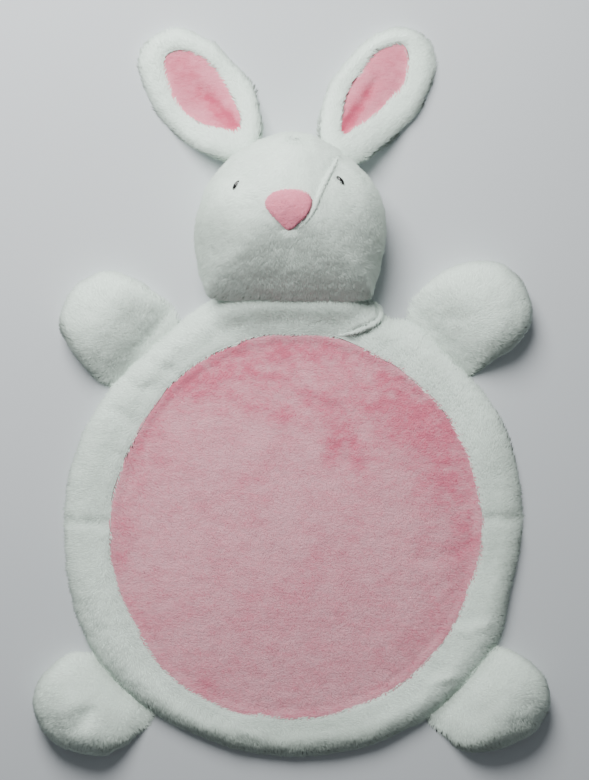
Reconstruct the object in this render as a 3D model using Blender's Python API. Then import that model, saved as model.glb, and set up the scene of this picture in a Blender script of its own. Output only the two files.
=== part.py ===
"""A padded play mat in the form of a rabbit that lies on its back.

A round mat carries a stuffed head with two ears, two arms and two feet, all sewn to its edge.
Lengths are in millimetres, turns are degrees from +X towards +Y, and +Y runs towards the ears.
"""

from collections import namedtuple
from math import asin, atan2, cos, degrees, exp, hypot, radians, sin

import bmesh
import bpy
from mathutils import Matrix, Vector
from mathutils.bvhtree import BVHTree

MM = 0.001

# A ray is the reach of an outline from its centre at one turn.
Ray = namedtuple("Ray", "turn reach")
# A ring is one step of a pad's section. Its share is -1 at the middle of the sunk panel, 0 at the
# panel's edge and 1 at the pad's outer edge.
Ring = namedtuple("Ring", "share height")
# A swell raises the top, or sinks it where it is negative, around one place.
Swell = namedtuple("Swell", "x y rise spread")
Place = namedtuple("Place", "x y")

# Gaps between pieces that are sewn to each other.
SEAM_GAP = 0.35
PANEL_GAP = 0.8

# The round mat: its outer edge, the edge of the pink panel, and the section from one to the other.
MAT_CENTRE = Place(x=0, y=-195)
MAT_EDGE = (
    Ray(2, 331), Ray(15, 334), Ray(28, 339), Ray(38, 336), Ray(50, 335), Ray(60, 342),
    Ray(66, 334), Ray(71, 351), Ray(80, 346), Ray(90, 341), Ray(100, 344), Ray(109, 349),
    Ray(117, 338), Ray(128, 330), Ray(145, 329), Ray(160, 331), Ray(178, 328), Ray(195, 331),
    Ray(212, 338), Ray(225, 335), Ray(240, 328), Ray(270, 327), Ray(298, 332), Ray(318, 334),
    Ray(332, 336), Ray(345, 326),
)
PANEL_CENTRE = Place(x=6, y=-194)
PANEL_EDGE = (
    Ray(0, 268), Ray(30, 270), Ray(60, 273), Ray(90, 279), Ray(120, 275), Ray(150, 267),
    Ray(180, 268), Ray(210, 274), Ray(240, 283), Ray(270, 276), Ray(300, 271), Ray(330, 266),
)
MAT_SECTION = (
    Ring(share=-1.0, height=17.5),
    Ring(share=-0.70, height=17.0),
    Ring(share=-0.40, height=16.2),
    Ring(share=-0.14, height=14.0),
    Ring(share=-0.02, height=11.5),
    Ring(share=0.04, height=15.5),
    Ring(share=0.20, height=23.5),
    Ring(share=0.40, height=28.5),
    Ring(share=0.58, height=29.5),
    Ring(share=0.76, height=26.5),
    Ring(share=0.91, height=20.5),
    Ring(share=1.0, height=12.0),
    Ring(share=0.95, height=4.0),
    Ring(share=0.84, height=0.0),
    Ring(share=-0.30, height=0.0),
    Ring(share=-1.0, height=0.0),
)
MAT_SECTORS = 90
MAT_PANEL_RINGS = 5
# Where the border's halves are joined, the seam draws the pile down in a short groove.
BORDER_SEAM_TURNS = (2, 178)
BORDER_SEAM_DEPTH = 3.5
BORDER_SEAM_SPREAD = 7.0
# Share of the border's width over which its seams and swells set in, next to the panel.
BORDER_SET_IN = 0.2
# The border is uneven, and a pleat runs in from the right end of the neck.
BORDER_SWELLS = (
    Swell(x=-60, y=112, rise=2.5, spread=38),
    Swell(x=52, y=112, rise=2.0, spread=34),
    Swell(x=121, y=104, rise=3.0, spread=13),
    Swell(x=108, y=84, rise=3.0, spread=12),
    Swell(x=84, y=73, rise=2.5, spread=12),
    Swell(x=146, y=84, rise=-2.5, spread=14),
    Swell(x=-300, y=-60, rise=2.0, spread=45),
    Swell(x=-290, y=-300, rise=2.0, spread=45),
    Swell(x=296, y=-90, rise=2.5, spread=45),
    Swell(x=285, y=-290, rise=2.0, spread=40),
    Swell(x=-90, y=-490, rise=2.0, spread=45),
    Swell(x=95, y=-488, rise=2.5, spread=45),
)

# The pink panel is a short-pile sheet in the mat's shallow recess.
PANEL_THICKNESS = 3.0
# A panel's rounded edge stands out by this share of its reach.
PANEL_EDGE_ROUND = 0.006

# The head: a deep stuffed ball on a flat back, cut off by the neck seam.
HEAD_CENTRE = Place(x=-3, y=237)
HEAD_EDGE = (
    Ray(0, 137), Ray(15, 136), Ray(30, 133), Ray(45, 130), Ray(60, 130), Ray(75, 134),
    Ray(90, 136), Ray(105, 132), Ray(120, 130), Ray(135, 131), Ray(150, 132), Ray(165, 133),
    Ray(180, 136), Ray(195, 140), Ray(207, 146), Ray(215, 151), Ray(221, 152), Ray(227, 143),
    Ray(240, 121), Ray(255, 109), Ray(270, 106), Ray(285, 109), Ray(300, 121), Ray(313, 143),
    Ray(319, 152), Ray(326, 147), Ray(336, 141), Ray(347, 138),
)
HEAD_CROWN = 134
HEAD_WAIST = 52
HEAD_SINK = 40
HEAD_SECTORS = 44
HEAD_BANDS = 24
# The highest point lies this far towards the ears from the outline's centre.
HEAD_LEAN = 20
HEAD_SWELLS = (
    Swell(x=-4, y=262, rise=9, spread=44),
    Swell(x=-62, y=210, rise=7, spread=44),
    Swell(x=56, y=210, rise=7, spread=44),
    Swell(x=-4, y=330, rise=5, spread=46),
    Swell(x=-82, y=297, rise=-5, spread=24),
    Swell(x=68, y=304, rise=-5, spread=24),
)

# The nose: a pink patch on the end of the brow's gusset.
NOSE_CENTRE = Place(x=-4, y=269)
NOSE_EDGE = (
    Ray(0, 29), Ray(30, 32), Ray(60, 26), Ray(90, 25), Ray(120, 26), Ray(150, 31),
    Ray(180, 31), Ray(210, 26), Ray(240, 26), Ray(270, 34), Ray(300, 26), Ray(330, 26),
)
NOSE_SECTORS = 28
# Section of the nose, as height over the head at shares of its reach, and back along its underside.
NOSE_SECTION = (
    Ring(share=0.0, height=5.5),
    Ring(share=0.35, height=5.4),
    Ring(share=0.65, height=5.0),
    Ring(share=0.86, height=4.4),
    Ring(share=0.97, height=3.8),
    Ring(share=1.0, height=2.0),
    Ring(share=0.985, height=PANEL_GAP),
    Ring(share=0.86, height=PANEL_GAP),
    Ring(share=0.65, height=PANEL_GAP),
    Ring(share=0.35, height=PANEL_GAP),
    Ring(share=0.0, height=PANEL_GAP),
)

# The eyes: oval beads, slanted, half sunk in the head.
Eye = namedtuple("Eye", "name x y slant")
EYES = (
    Eye(name="eye_left", x=-81, y=297, slant=60),
    Eye(name="eye_right", x=69, y=304, slant=-53),
)
EYE_HALF_LENGTH = 8.5
EYE_HALF_WIDTH = 3.8
EYE_HALF_DEPTH = 4.5
EYE_SUNK = 1.4
EYE_SECTORS = 20
EYE_BANDS = 12

# The ears: flat padded leaves with a sunk pink lining, lifted where they meet the head.
Ear = namedtuple("Ear", "side centre edge lining_centre lining_edge root_turn")
EARS = (
    Ear(
        side="left",
        centre=Place(x=-133, y=429),
        edge=(
            Ray(0, 81), Ray(15, 75), Ray(30, 69), Ray(45, 66), Ray(60, 70), Ray(75, 78),
            Ray(90, 86), Ray(105, 98), Ray(120, 105), Ray(135, 107), Ray(150, 102), Ray(165, 88),
            Ray(180, 76), Ray(210, 66), Ray(225, 65), Ray(240, 68), Ray(255, 73), Ray(270, 83),
            Ray(285, 97), Ray(300, 116), Ray(315, 117), Ray(330, 104), Ray(345, 89),
        ),
        lining_centre=Place(x=-131, y=436),
        lining_edge=(
            Ray(0, 40), Ray(30, 36), Ray(60, 38), Ray(90, 47), Ray(112, 60), Ray(135, 69),
            Ray(155, 58), Ray(180, 47), Ray(210, 42), Ray(240, 42), Ray(270, 49), Ray(295, 62),
            Ray(312, 82), Ray(325, 70), Ray(342, 50),
        ),
        root_turn=308,
    ),
    Ear(
        side="right",
        centre=Place(x=121, y=429),
        edge=(
            Ray(0, 74), Ray(15, 85), Ray(30, 98), Ray(45, 108), Ray(60, 107), Ray(75, 99),
            Ray(90, 88), Ray(105, 76), Ray(120, 68), Ray(135, 64), Ray(150, 64), Ray(165, 68),
            Ray(180, 73), Ray(195, 82), Ray(210, 98), Ray(225, 113), Ray(240, 116), Ray(255, 105),
            Ray(270, 83), Ray(285, 72), Ray(300, 66), Ray(315, 64), Ray(330, 66), Ray(345, 69),
        ),
        lining_centre=Place(x=118, y=442),
        lining_edge=(
            Ray(0, 41), Ray(20, 49), Ray(42, 62), Ray(58, 70), Ray(75, 57), Ray(95, 42),
            Ray(120, 32), Ray(150, 29), Ray(180, 35), Ray(205, 46), Ray(222, 60), Ray(236, 84),
            Ray(248, 64), Ray(268, 42), Ray(300, 32), Ray(330, 33),
        ),
        root_turn=232,
    ),
)
EAR_SECTION = (
    Ring(share=-1.0, height=17.0),
    Ring(share=-0.60, height=16.4),
    Ring(share=-0.28, height=14.6),
    Ring(share=-0.06, height=11.5),
    Ring(share=0.06, height=16.0),
    Ring(share=0.28, height=24.5),
    Ring(share=0.50, height=27.5),
    Ring(share=0.74, height=24.0),
    Ring(share=0.92, height=17.5),
    Ring(share=1.0, height=11.0),
    Ring(share=0.92, height=3.5),
    Ring(share=0.74, height=0.0),
    Ring(share=-1.0, height=0.0),
)
EAR_SECTORS = 40
EAR_PANEL_RINGS = 4
EAR_LIFT = 34
EAR_LIFT_FROM = 0
EAR_LIFT_TO = 112
LINING_THICKNESS = 2.5
# A crease runs down the lining to the root and deepens between these distances from the ear's centre.
LINING_CREASE_DEPTH = 3.0
LINING_CREASE_SPREAD = 8.0
LINING_CREASE_FROM = -20
LINING_CREASE_TO = 30

# The arms and feet: stuffed lobes that thin out towards the seam on the mat's edge.
Limb = namedtuple("Limb", "name centre crown root_turn seam_distance edge dent")
LIMBS = (
    Limb(
        name="arm_left",
        centre=Place(x=-252, y=93),
        crown=64,
        root_turn=322,
        seam_distance=49,
        edge=(
            Ray(0, 92), Ray(20, 87), Ray(40, 75), Ray(60, 73), Ray(80, 77), Ray(100, 82),
            Ray(120, 84), Ray(140, 84), Ray(160, 83), Ray(180, 82), Ray(200, 74), Ray(220, 72),
            Ray(240, 75), Ray(260, 84), Ray(280, 88), Ray(310, 80), Ray(335, 82),
        ),
        dent=Swell(x=-222, y=112, rise=-3, spread=24),
    ),
    Limb(
        name="arm_right",
        centre=Place(x=256, y=107),
        crown=66,
        root_turn=220,
        seam_distance=57,
        edge=(
            Ray(0, 88), Ray(20, 89), Ray(40, 90), Ray(60, 89), Ray(80, 84), Ray(100, 79),
            Ray(120, 77), Ray(140, 78), Ray(160, 85), Ray(180, 94), Ray(205, 90), Ray(235, 90),
            Ray(258, 92), Ray(280, 76), Ray(300, 69), Ray(320, 72), Ray(340, 80),
        ),
        dent=Swell(x=226, y=122, rise=-3, spread=24),
    ),
    Limb(
        name="foot_left",
        centre=Place(x=-283, y=-446),
        crown=60,
        root_turn=35,
        seam_distance=45,
        edge=(
            Ray(0, 88), Ray(20, 76), Ray(40, 68), Ray(60, 66), Ray(80, 72), Ray(100, 74),
            Ray(120, 80), Ray(140, 82), Ray(160, 87), Ray(180, 90), Ray(200, 87), Ray(220, 83),
            Ray(240, 77), Ray(260, 74), Ray(280, 75), Ray(300, 74), Ray(320, 75), Ray(340, 84),
        ),
        dent=Swell(x=-297, y=-468, rise=-5, spread=17),
    ),
    Limb(
        name="foot_right",
        centre=Place(x=282, y=-440),
        crown=60,
        root_turn=148,
        seam_distance=44,
        edge=(
            Ray(0, 88), Ray(20, 86), Ray(40, 80), Ray(60, 77), Ray(80, 75), Ray(100, 70),
            Ray(120, 64), Ray(140, 62), Ray(160, 68), Ray(180, 82), Ray(200, 93), Ray(220, 84),
            Ray(240, 82), Ray(260, 77), Ray(280, 73), Ray(300, 74), Ray(320, 79), Ray(340, 84),
        ),
        dent=Swell(x=262, y=-462, rise=-4, spread=18),
    ),
)
LIMB_SECTORS = 32
LIMB_BANDS = 16
LIMB_WAIST_SHARE = 0.36
LIMB_SINK = 22
LIMB_SEAM_HEIGHT = 17
# From the seam a limb swells to its full height over this length, steeply at first.
LIMB_SWELL_LENGTH = 84

# How full a stuffed piece is: below 1 its section is squarer than an ellipse.
SIDE_FULLNESS = 0.80
TOP_FULLNESS = 0.96

WHITE_PILE = (0.70, 0.74, 0.72, 1.0)
PINK_PILE = (0.72, 0.36, 0.43, 1.0)
NOSE_PINK = (0.68, 0.28, 0.34, 1.0)
EYE_BLACK = (0.02, 0.02, 0.02, 1.0)


def clear_scene():
    for obj in list(bpy.data.objects):
        bpy.data.objects.remove(obj, do_unlink=True)


def new_collection(name):
    collection = bpy.data.collections.new(name)
    bpy.context.scene.collection.children.link(collection)
    return collection


def principled(name, colour, roughness):
    material = bpy.data.materials.new(name)
    material.use_nodes = True
    shader = material.node_tree.nodes["Principled BSDF"]
    shader.inputs["Base Color"].default_value = colour
    shader.inputs["Roughness"].default_value = roughness
    shader.inputs["Metallic"].default_value = 0.0
    return material


def reach_at(rays, turn):
    """Reach of a closed outline at a turn: a cubic from ray to ray, with the slope of the rays around."""
    count = len(rays)
    turn = turn % 360.0
    after = next((i for i, ray in enumerate(rays) if ray.turn > turn), 0)
    four = [rays[(after + step) % count] for step in (-2, -1, 0, 1)]
    turns = [four[1].turn]
    for earlier, later in zip(four[1:], four[2:]):
        turns.append(turns[-1] + (later.turn - earlier.turn) % 360.0)
    turns.insert(0, turns[0] - (four[1].turn - four[0].turn) % 360.0)
    span = turns[2] - turns[1]
    along = ((turn - turns[1]) % 360.0) / span
    slope_in = (four[2].reach - four[0].reach) / (turns[2] - turns[0]) * span
    slope_out = (four[3].reach - four[1].reach) / (turns[3] - turns[1]) * span
    rise = four[2].reach - four[1].reach
    bend = 3.0 * rise - 2.0 * slope_in - slope_out
    twist = slope_in + slope_out - 2.0 * rise
    return four[1].reach + along * (slope_in + along * (bend + along * twist))


def edge_point(centre, rays, turn):
    reach = reach_at(rays, turn)
    return Vector((centre.x + reach * cos(radians(turn)), centre.y + reach * sin(radians(turn))))


def smooth_step(value, start, end):
    share = min(max((value - start) / (end - start), 0.0), 1.0)
    return share * share * (3.0 - 2.0 * share)


def swell_at(swells, x, y):
    """Sum of the swells at a place, each a bell curve around its own place."""
    rise = 0.0
    for swell in swells:
        distance = hypot(x - swell.x, y - swell.y)
        rise += swell.rise * exp(-0.5 * (distance / swell.spread) ** 2)
    return rise


def turn_of(point):
    """The turn of a ball's point. A pole has none, so it takes the turn 0."""
    return degrees(atan2(point.y, point.x)) if hypot(point.x, point.y) > 1e-6 else 0.0


def tilt_of(point):
    """The tilt of a unit ball's point in radians, from its lower pole to its upper one."""
    return asin(min(max(point.z, -1.0), 1.0))


def ring_of(point, section):
    """The section's step for one ring of a ball that has as many rings as the section has steps."""
    bands = len(section) - 1
    step = round((90.0 - degrees(tilt_of(point))) * bands / 180.0)
    return step, section[step]


def add_object(name, mesh, material, collection, origin):
    """Puts a mesh built in millimetres of the part's frame into an object with its own origin."""
    bmesh.ops.transform(mesh, matrix=Matrix.Scale(MM, 4), verts=mesh.verts)
    place = Vector((origin.x, origin.y, 0.0)) * MM
    bmesh.ops.translate(mesh, vec=-place, verts=mesh.verts)
    bmesh.ops.recalc_face_normals(mesh, faces=mesh.faces)
    data = bpy.data.meshes.new(name)
    mesh.to_mesh(data)
    mesh.free()
    data.materials.append(material)
    data.shade_smooth()
    obj = bpy.data.objects.new(name, data)
    obj.location = place
    collection.objects.link(obj)
    return obj


def stuffed_mesh(centre, rays, crown, waist, sink, sectors, bands, shape):
    """A ball pulled out to an outline. It is widest at its waist and flat where it rests.

    shape(x, y, z, rise) returns the point's final place. rise is 0 at the waist and 1 at the crown.
    """
    mesh = bmesh.new()
    bmesh.ops.create_uvsphere(mesh, u_segments=sectors, v_segments=bands, radius=1.0)
    for vert in mesh.verts:
        turn = turn_of(vert.co)
        tilt = tilt_of(vert.co)
        share = max(cos(tilt), 0.0) ** SIDE_FULLNESS
        out = reach_at(rays, turn) * share
        height = abs(sin(tilt)) ** TOP_FULLNESS
        if tilt >= 0.0:
            z = waist + (crown - waist) * height
            rise = height
        else:
            z = max(waist - (waist + sink) * height, 0.0)
            rise = 0.0
        x = centre.x + out * cos(radians(turn))
        y = centre.y + out * sin(radians(turn))
        vert.co = shape(x, y, z, rise)
    return mesh


def framed_point(outer, inner, share, turn):
    """A place on the ray of one turn, from the inner outline's centre through its edge to the outer edge."""
    inner_edge = edge_point(inner[0], inner[1], turn)
    if share <= 0.0:
        middle = Vector((inner[0].x, inner[0].y))
        return middle.lerp(inner_edge, 1.0 + share)
    return inner_edge.lerp(edge_point(outer[0], outer[1], turn), share)


def framed_pad_mesh(outer, inner, section, sectors, shape, top_rings):
    """A pad with a sunk panel: each ring of a ball is laid at one step of the section.

    The first top_rings rings face up and take the pad's creases and swells.
    """
    mesh = bmesh.new()
    bmesh.ops.create_uvsphere(mesh, u_segments=sectors, v_segments=len(section) - 1, radius=1.0)
    for vert in mesh.verts:
        step, ring = ring_of(vert.co, section)
        place = framed_point(outer, inner, ring.share, turn_of(vert.co))
        vert.co = shape(place.x, place.y, ring, step < top_rings)
    # A bed and the panel on it then fold along the same diagonals.
    bmesh.ops.triangulate(mesh, faces=mesh.faces, quad_method="SHORT_EDGE")
    return mesh


def rings_to_edge(section):
    return next(step for step, ring in enumerate(section) if ring.share == 1.0) + 1


def panel_mesh(outer, inner, section, sectors, shape, thickness):
    """A sheet of even thickness on the sunk part of a pad, ring over ring, with a rounded edge."""
    unders = [Ring(ring.share, ring.height + PANEL_GAP) for ring in section]
    tops = [Ring(ring.share, ring.height + thickness) for ring in unders]
    edge_share = section[-1].share + PANEL_EDGE_ROUND
    edge_heights = (unders[-1].height + 0.75 * thickness, unders[-1].height + 0.25 * thickness)
    edge = [Ring(edge_share, height) for height in edge_heights]
    rings = tops + edge + unders[::-1]
    return framed_pad_mesh(outer, inner, rings, sectors, shape, len(rings))


def mat_shape(x, y, ring, on_top):
    """The border's swells, and the grooves of the seams that join its halves."""
    z = ring.height
    if on_top and ring.share > 0.0:
        on_border = smooth_step(ring.share, 0.0, BORDER_SET_IN)
        from_centre = Vector((x - MAT_CENTRE.x, y - MAT_CENTRE.y))
        z += on_border * swell_at(BORDER_SWELLS, x, y)
        for seam_turn in BORDER_SEAM_TURNS:
            along = Vector((cos(radians(seam_turn)), sin(radians(seam_turn))))
            if from_centre.dot(along) > 0.0:
                off = from_centre.cross(along)
                z -= on_border * BORDER_SEAM_DEPTH * exp(-0.5 * (off / BORDER_SEAM_SPREAD) ** 2)
    return Vector((x, y, z))


def head_shape(x, y, z, rise):
    swell = swell_at(HEAD_SWELLS, x, y) * rise
    return Vector((x, y + HEAD_LEAN * rise ** 2, z + swell))


def limb_shape(limb):
    """A lobe thins out along its root turn, down to the seam's height at the mat's edge."""
    along = Vector((cos(radians(limb.root_turn)), sin(radians(limb.root_turn))))
    thinned = LIMB_SEAM_HEIGHT / limb.crown

    def shape(x, y, z, rise):
        distance = Vector((x - limb.centre.x, y - limb.centre.y)).dot(along)
        swollen = min(max((limb.seam_distance - distance) / LIMB_SWELL_LENGTH, 0.0), 1.0)
        share = thinned + (1.0 - thinned) * sin(radians(90.0 * swollen))
        return Vector((x, y, z * share + swell_at((limb.dent,), x, y) * rise))

    return shape


def ear_shape(ear):
    """An ear rises towards its root, and its lining is creased along the ear's own line."""
    along = Vector((cos(radians(ear.root_turn)), sin(radians(ear.root_turn))))

    def shape(x, y, ring, on_top):
        off = Vector((x - ear.centre.x, y - ear.centre.y))
        z = ring.height + EAR_LIFT * smooth_step(off.dot(along), EAR_LIFT_FROM, EAR_LIFT_TO)
        if on_top and ring.share < 0.0:
            in_lining = smooth_step(off.dot(along), LINING_CREASE_FROM, LINING_CREASE_TO)
            crease = exp(-0.5 * (off.cross(along) / LINING_CREASE_SPREAD) ** 2)
            z -= LINING_CREASE_DEPTH * in_lining * crease
        return Vector((x, y, z))

    return shape


def top_of(tree, x, y):
    """The point and the outward direction of a surface under a place seen from above, in millimetres."""
    above = Vector((x, y, 2.0 * HEAD_CROWN))
    place, normal, _, _ = tree.ray_cast(above, Vector((0.0, 0.0, -1.0)))
    return place, normal


def nose_mesh(head_tree):
    """A crowned patch laid on the head, both faces following the surface under them."""
    mesh = bmesh.new()
    bands = len(NOSE_SECTION) - 1
    bmesh.ops.create_uvsphere(mesh, u_segments=NOSE_SECTORS, v_segments=bands, radius=1.0)
    middle = Vector((NOSE_CENTRE.x, NOSE_CENTRE.y))
    for vert in mesh.verts:
        _, ring = ring_of(vert.co, NOSE_SECTION)
        place = middle.lerp(edge_point(NOSE_CENTRE, NOSE_EDGE, turn_of(vert.co)), ring.share)
        under, _ = top_of(head_tree, place.x, place.y)
        vert.co = Vector((place.x, place.y, under.z + ring.height))
    return mesh


def eye_mesh(eye, head_tree, margin):
    """An oval bead, its long axis on the eye's slant, sunk a little below the head's surface."""
    under, normal = top_of(head_tree, eye.x, eye.y)
    length_way = Vector((cos(radians(eye.slant)), sin(radians(eye.slant)), 0.0))
    width_way = normal.cross(length_way).normalized()
    length_way = width_way.cross(normal).normalized()
    centre = under - normal * EYE_SUNK
    mesh = bmesh.new()
    bmesh.ops.create_uvsphere(mesh, u_segments=EYE_SECTORS, v_segments=EYE_BANDS, radius=1.0)
    for vert in mesh.verts:
        along = length_way * vert.co.x * (EYE_HALF_LENGTH + margin)
        across = width_way * vert.co.y * (EYE_HALF_WIDTH + margin)
        out = normal * vert.co.z * (EYE_HALF_DEPTH + margin)
        vert.co = centre + along + across + out
    return mesh


def add_cutter(name, source, cutters):
    """The same mesh as a piece, grown along its normals by the gap that its neighbour keeps."""
    cutter = bpy.data.objects.new(name, source.data)
    cutter.location = source.location
    cutters.objects.link(cutter)
    grow = cutter.modifiers.new("seam_gap", "DISPLACE")
    grow.mid_level = 0.0
    grow.strength = SEAM_GAP * MM
    hide_cutter(cutter)
    return cutter


def hide_cutter(cutter):
    cutter.hide_render = True
    cutter.display_type = "WIRE"


def cut(obj, cutter):
    modifier = obj.modifiers.new(f"clear_of_{cutter.name}", "BOOLEAN")
    modifier.operation = "DIFFERENCE"
    modifier.solver = "EXACT"
    modifier.object = cutter


def build_mat(parts, white, pink):
    outer = (MAT_CENTRE, MAT_EDGE)
    inner = (PANEL_CENTRE, PANEL_EDGE)
    body = framed_pad_mesh(outer, inner, MAT_SECTION, MAT_SECTORS, mat_shape, rings_to_edge(MAT_SECTION))
    mat = add_object("mat_body", body, white, parts, MAT_CENTRE)
    bed = MAT_SECTION[:MAT_PANEL_RINGS]
    panel = panel_mesh(outer, inner, bed, MAT_SECTORS, mat_shape, PANEL_THICKNESS)
    add_object("belly_panel", panel, pink, parts, PANEL_CENTRE)
    return mat


def build_head(parts, cutters, mat_cutter, white, nose_pink, eye_black):
    body = stuffed_mesh(
        HEAD_CENTRE, HEAD_EDGE, HEAD_CROWN, HEAD_WAIST, HEAD_SINK, HEAD_SECTORS, HEAD_BANDS, head_shape
    )
    bmesh.ops.recalc_face_normals(body, faces=body.faces)
    tree = BVHTree.FromBMesh(body)
    head = add_object("head", body, white, parts, HEAD_CENTRE)
    cut(head, mat_cutter)
    add_object("nose", nose_mesh(tree), nose_pink, parts, NOSE_CENTRE)
    for eye in EYES:
        place = Place(eye.x, eye.y)
        add_object(eye.name, eye_mesh(eye, tree, 0.0), eye_black, parts, place)
        socket_mesh = eye_mesh(eye, tree, SEAM_GAP)
        socket = add_object(f"{eye.name}_socket", socket_mesh, eye_black, cutters, place)
        hide_cutter(socket)
        cut(head, socket)
    return head


def build_ears(parts, head_cutter, white, pink):
    for ear in EARS:
        outer = (ear.centre, ear.edge)
        inner = (ear.lining_centre, ear.lining_edge)
        shape = ear_shape(ear)
        top_rings = rings_to_edge(EAR_SECTION)
        leaf = framed_pad_mesh(outer, inner, EAR_SECTION, EAR_SECTORS, shape, top_rings)
        pad = add_object(f"ear_{ear.side}", leaf, white, parts, ear.centre)
        cut(pad, head_cutter)
        bed = EAR_SECTION[:EAR_PANEL_RINGS]
        lining = panel_mesh(outer, inner, bed, EAR_SECTORS, shape, LINING_THICKNESS)
        add_object(f"ear_lining_{ear.side}", lining, pink, parts, ear.lining_centre)


def build_limbs(parts, mat_cutter, white):
    for limb in LIMBS:
        waist = limb.crown * LIMB_WAIST_SHARE
        lobe = stuffed_mesh(
            limb.centre, limb.edge, limb.crown, waist, LIMB_SINK, LIMB_SECTORS, LIMB_BANDS, limb_shape(limb)
        )
        obj = add_object(limb.name, lobe, white, parts, limb.centre)
        cut(obj, mat_cutter)


def main():
    clear_scene()
    parts = new_collection("play_mat")
    cutters = new_collection("cutters")
    white = principled("white_pile", WHITE_PILE, 0.95)
    pink = principled("pink_pile", PINK_PILE, 0.9)
    nose_pink = principled("nose_pile", NOSE_PINK, 0.85)
    eye_black = principled("eye_gloss", EYE_BLACK, 0.2)
    mat = build_mat(parts, white, pink)
    mat_cutter = add_cutter("mat_clearance", mat, cutters)
    head = build_head(parts, cutters, mat_cutter, white, nose_pink, eye_black)
    head_cutter = add_cutter("head_clearance", head, cutters)
    build_ears(parts, head_cutter, white, pink)
    build_limbs(parts, mat_cutter, white)


main()
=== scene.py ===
import math

import bpy
import numpy as np
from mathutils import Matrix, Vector


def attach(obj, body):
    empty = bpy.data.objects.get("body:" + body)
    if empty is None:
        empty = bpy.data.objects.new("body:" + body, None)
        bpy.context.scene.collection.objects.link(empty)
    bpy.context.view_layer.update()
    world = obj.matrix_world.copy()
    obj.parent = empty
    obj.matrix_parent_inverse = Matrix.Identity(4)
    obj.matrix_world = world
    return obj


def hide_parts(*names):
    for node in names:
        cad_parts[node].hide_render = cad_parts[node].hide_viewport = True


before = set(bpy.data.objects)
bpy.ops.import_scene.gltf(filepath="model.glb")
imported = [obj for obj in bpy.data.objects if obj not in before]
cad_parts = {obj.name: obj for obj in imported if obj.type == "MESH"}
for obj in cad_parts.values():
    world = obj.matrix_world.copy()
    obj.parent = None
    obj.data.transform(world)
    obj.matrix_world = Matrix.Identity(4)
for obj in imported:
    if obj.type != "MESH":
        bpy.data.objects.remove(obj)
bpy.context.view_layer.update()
print("frame loaded:", ", ".join(sorted(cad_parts)))

# Every table below is in millimetres. A turn is in degrees from +X towards +Y, and +Y runs to the ears.
mm = 0.001
randomSeed = 20
lowestSkin, lowestLock = 0.4, 0.3  # over the floor


# Reach of an outline at each turn: a cubic through its (turn, reach) pairs that closes on itself.
def reachAt(edge, turns):
    knots, reaches = np.array(edge, float).T
    knots = np.concatenate([knots[-2:] - 360, knots, knots[:3] + 360])
    reaches = np.concatenate([reaches[-2:], reaches, reaches[:3]])
    slopes = np.gradient(reaches)
    slopes[1:-1] = (reaches[2:] - reaches[:-2]) / (knots[2:] - knots[:-2])
    turns = np.mod(turns, 360.0)
    before = np.searchsorted(knots, turns, side="right") - 1
    span = knots[before + 1] - knots[before]
    along = (turns - knots[before]) / span
    slopeIn, slopeOut = slopes[before] * span, slopes[before + 1] * span
    rise = reaches[before + 1] - reaches[before]
    return reaches[before] + along * (
        slopeIn + along * (3 * rise - 2 * slopeIn - slopeOut + along * (slopeIn + slopeOut - 2 * rise))
    )


def smoothStep(value, start, end):
    share = np.clip((value - start) / (end - start), 0.0, 1.0)
    return share * share * (3.0 - 2.0 * share)


def bell(distance, spread):
    return np.exp(-0.5 * (distance / spread) ** 2)


# Parts of an offset along a turn and to its left.
def turned(x, y, turn):
    c, s = math.cos(math.radians(turn)), math.sin(math.radians(turn))
    return x * c + y * s, y * c - x * s


# Distance from a centre, and turn about it.
def polarAt(centre, x, y):
    offX, offY = x - centre[0], y - centre[1]
    return np.hypot(offX, offY), np.degrees(np.arctan2(offY, offX))


def placeAt(centre, reach, turns):
    rays = np.radians(turns)
    return centre[0] + reach * np.cos(rays), centre[1] + reach * np.sin(rays)


def wayAt(turn):
    return np.array([math.cos(math.radians(turn)), math.sin(math.radians(turn)), 0.0])


def evenTurns(count):
    return np.arange(count) * 360.0 / count


# Sum of bell curves, each a row of x, y, rise, spread along its own turn, spread across it, turn.
def swellAt(swells, x, y):
    total = np.zeros(np.shape(x))
    for atX, atY, rise, long, wide, turn in swells:
        along, across = turned(x - atX, y - atY, turn)
        total = total + rise * bell(along, long) * bell(across, wide)
    return total


# For each place, its signed distance to the left of a path of (x, y) points, and the share of the path's length
# at its foot.
def pathAt(path, x, y):
    path = np.array(path, float)
    steps = np.diff(path, axis=0)
    lengths = np.hypot(*steps.T)
    starts = np.concatenate([[0], np.cumsum(lengths)])
    best = np.full(np.shape(x), 1e9)
    side, share = np.zeros(np.shape(x)), np.zeros(np.shape(x))
    for (px, py), (sx, sy), length, start in zip(path[:-1], steps, lengths, starts):
        foot = np.clip(((x - px) * sx + (y - py) * sy) / length**2, 0, 1)
        offX, offY = x - px - foot * sx, y - py - foot * sy
        distance = np.hypot(offX, offY)
        nearer = distance < best
        best = np.where(nearer, distance, best)
        side = np.where(nearer, np.sign(sx * offY - sy * offX), side)
        share = np.where(nearer, (start + foot * length) / starts[-1], share)
    return best * side, share


# Sum of soft ridges and troughs. Each one is a path, the height on its line, its width, a step from right to
# left and, where they aren't 0.2, the shares of its length over which its start and its end fade.
def creaseAt(creases, x, y):
    total = np.zeros(np.shape(x))
    for path, rise, width, step, *fades in creases:
        side, share = pathAt(path, x, y)
        fadeIn, fadeOut = fades or (0.2, 0.2)
        fade = smoothStep(share, 0.0, fadeIn) * smoothStep(1 - share, 0.0, fadeOut)
        stepped = step * np.tanh(side / width) * bell(side, 3 * width)
        total = total + fade * (rise * bell(side, width) + stepped)
    return total


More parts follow.
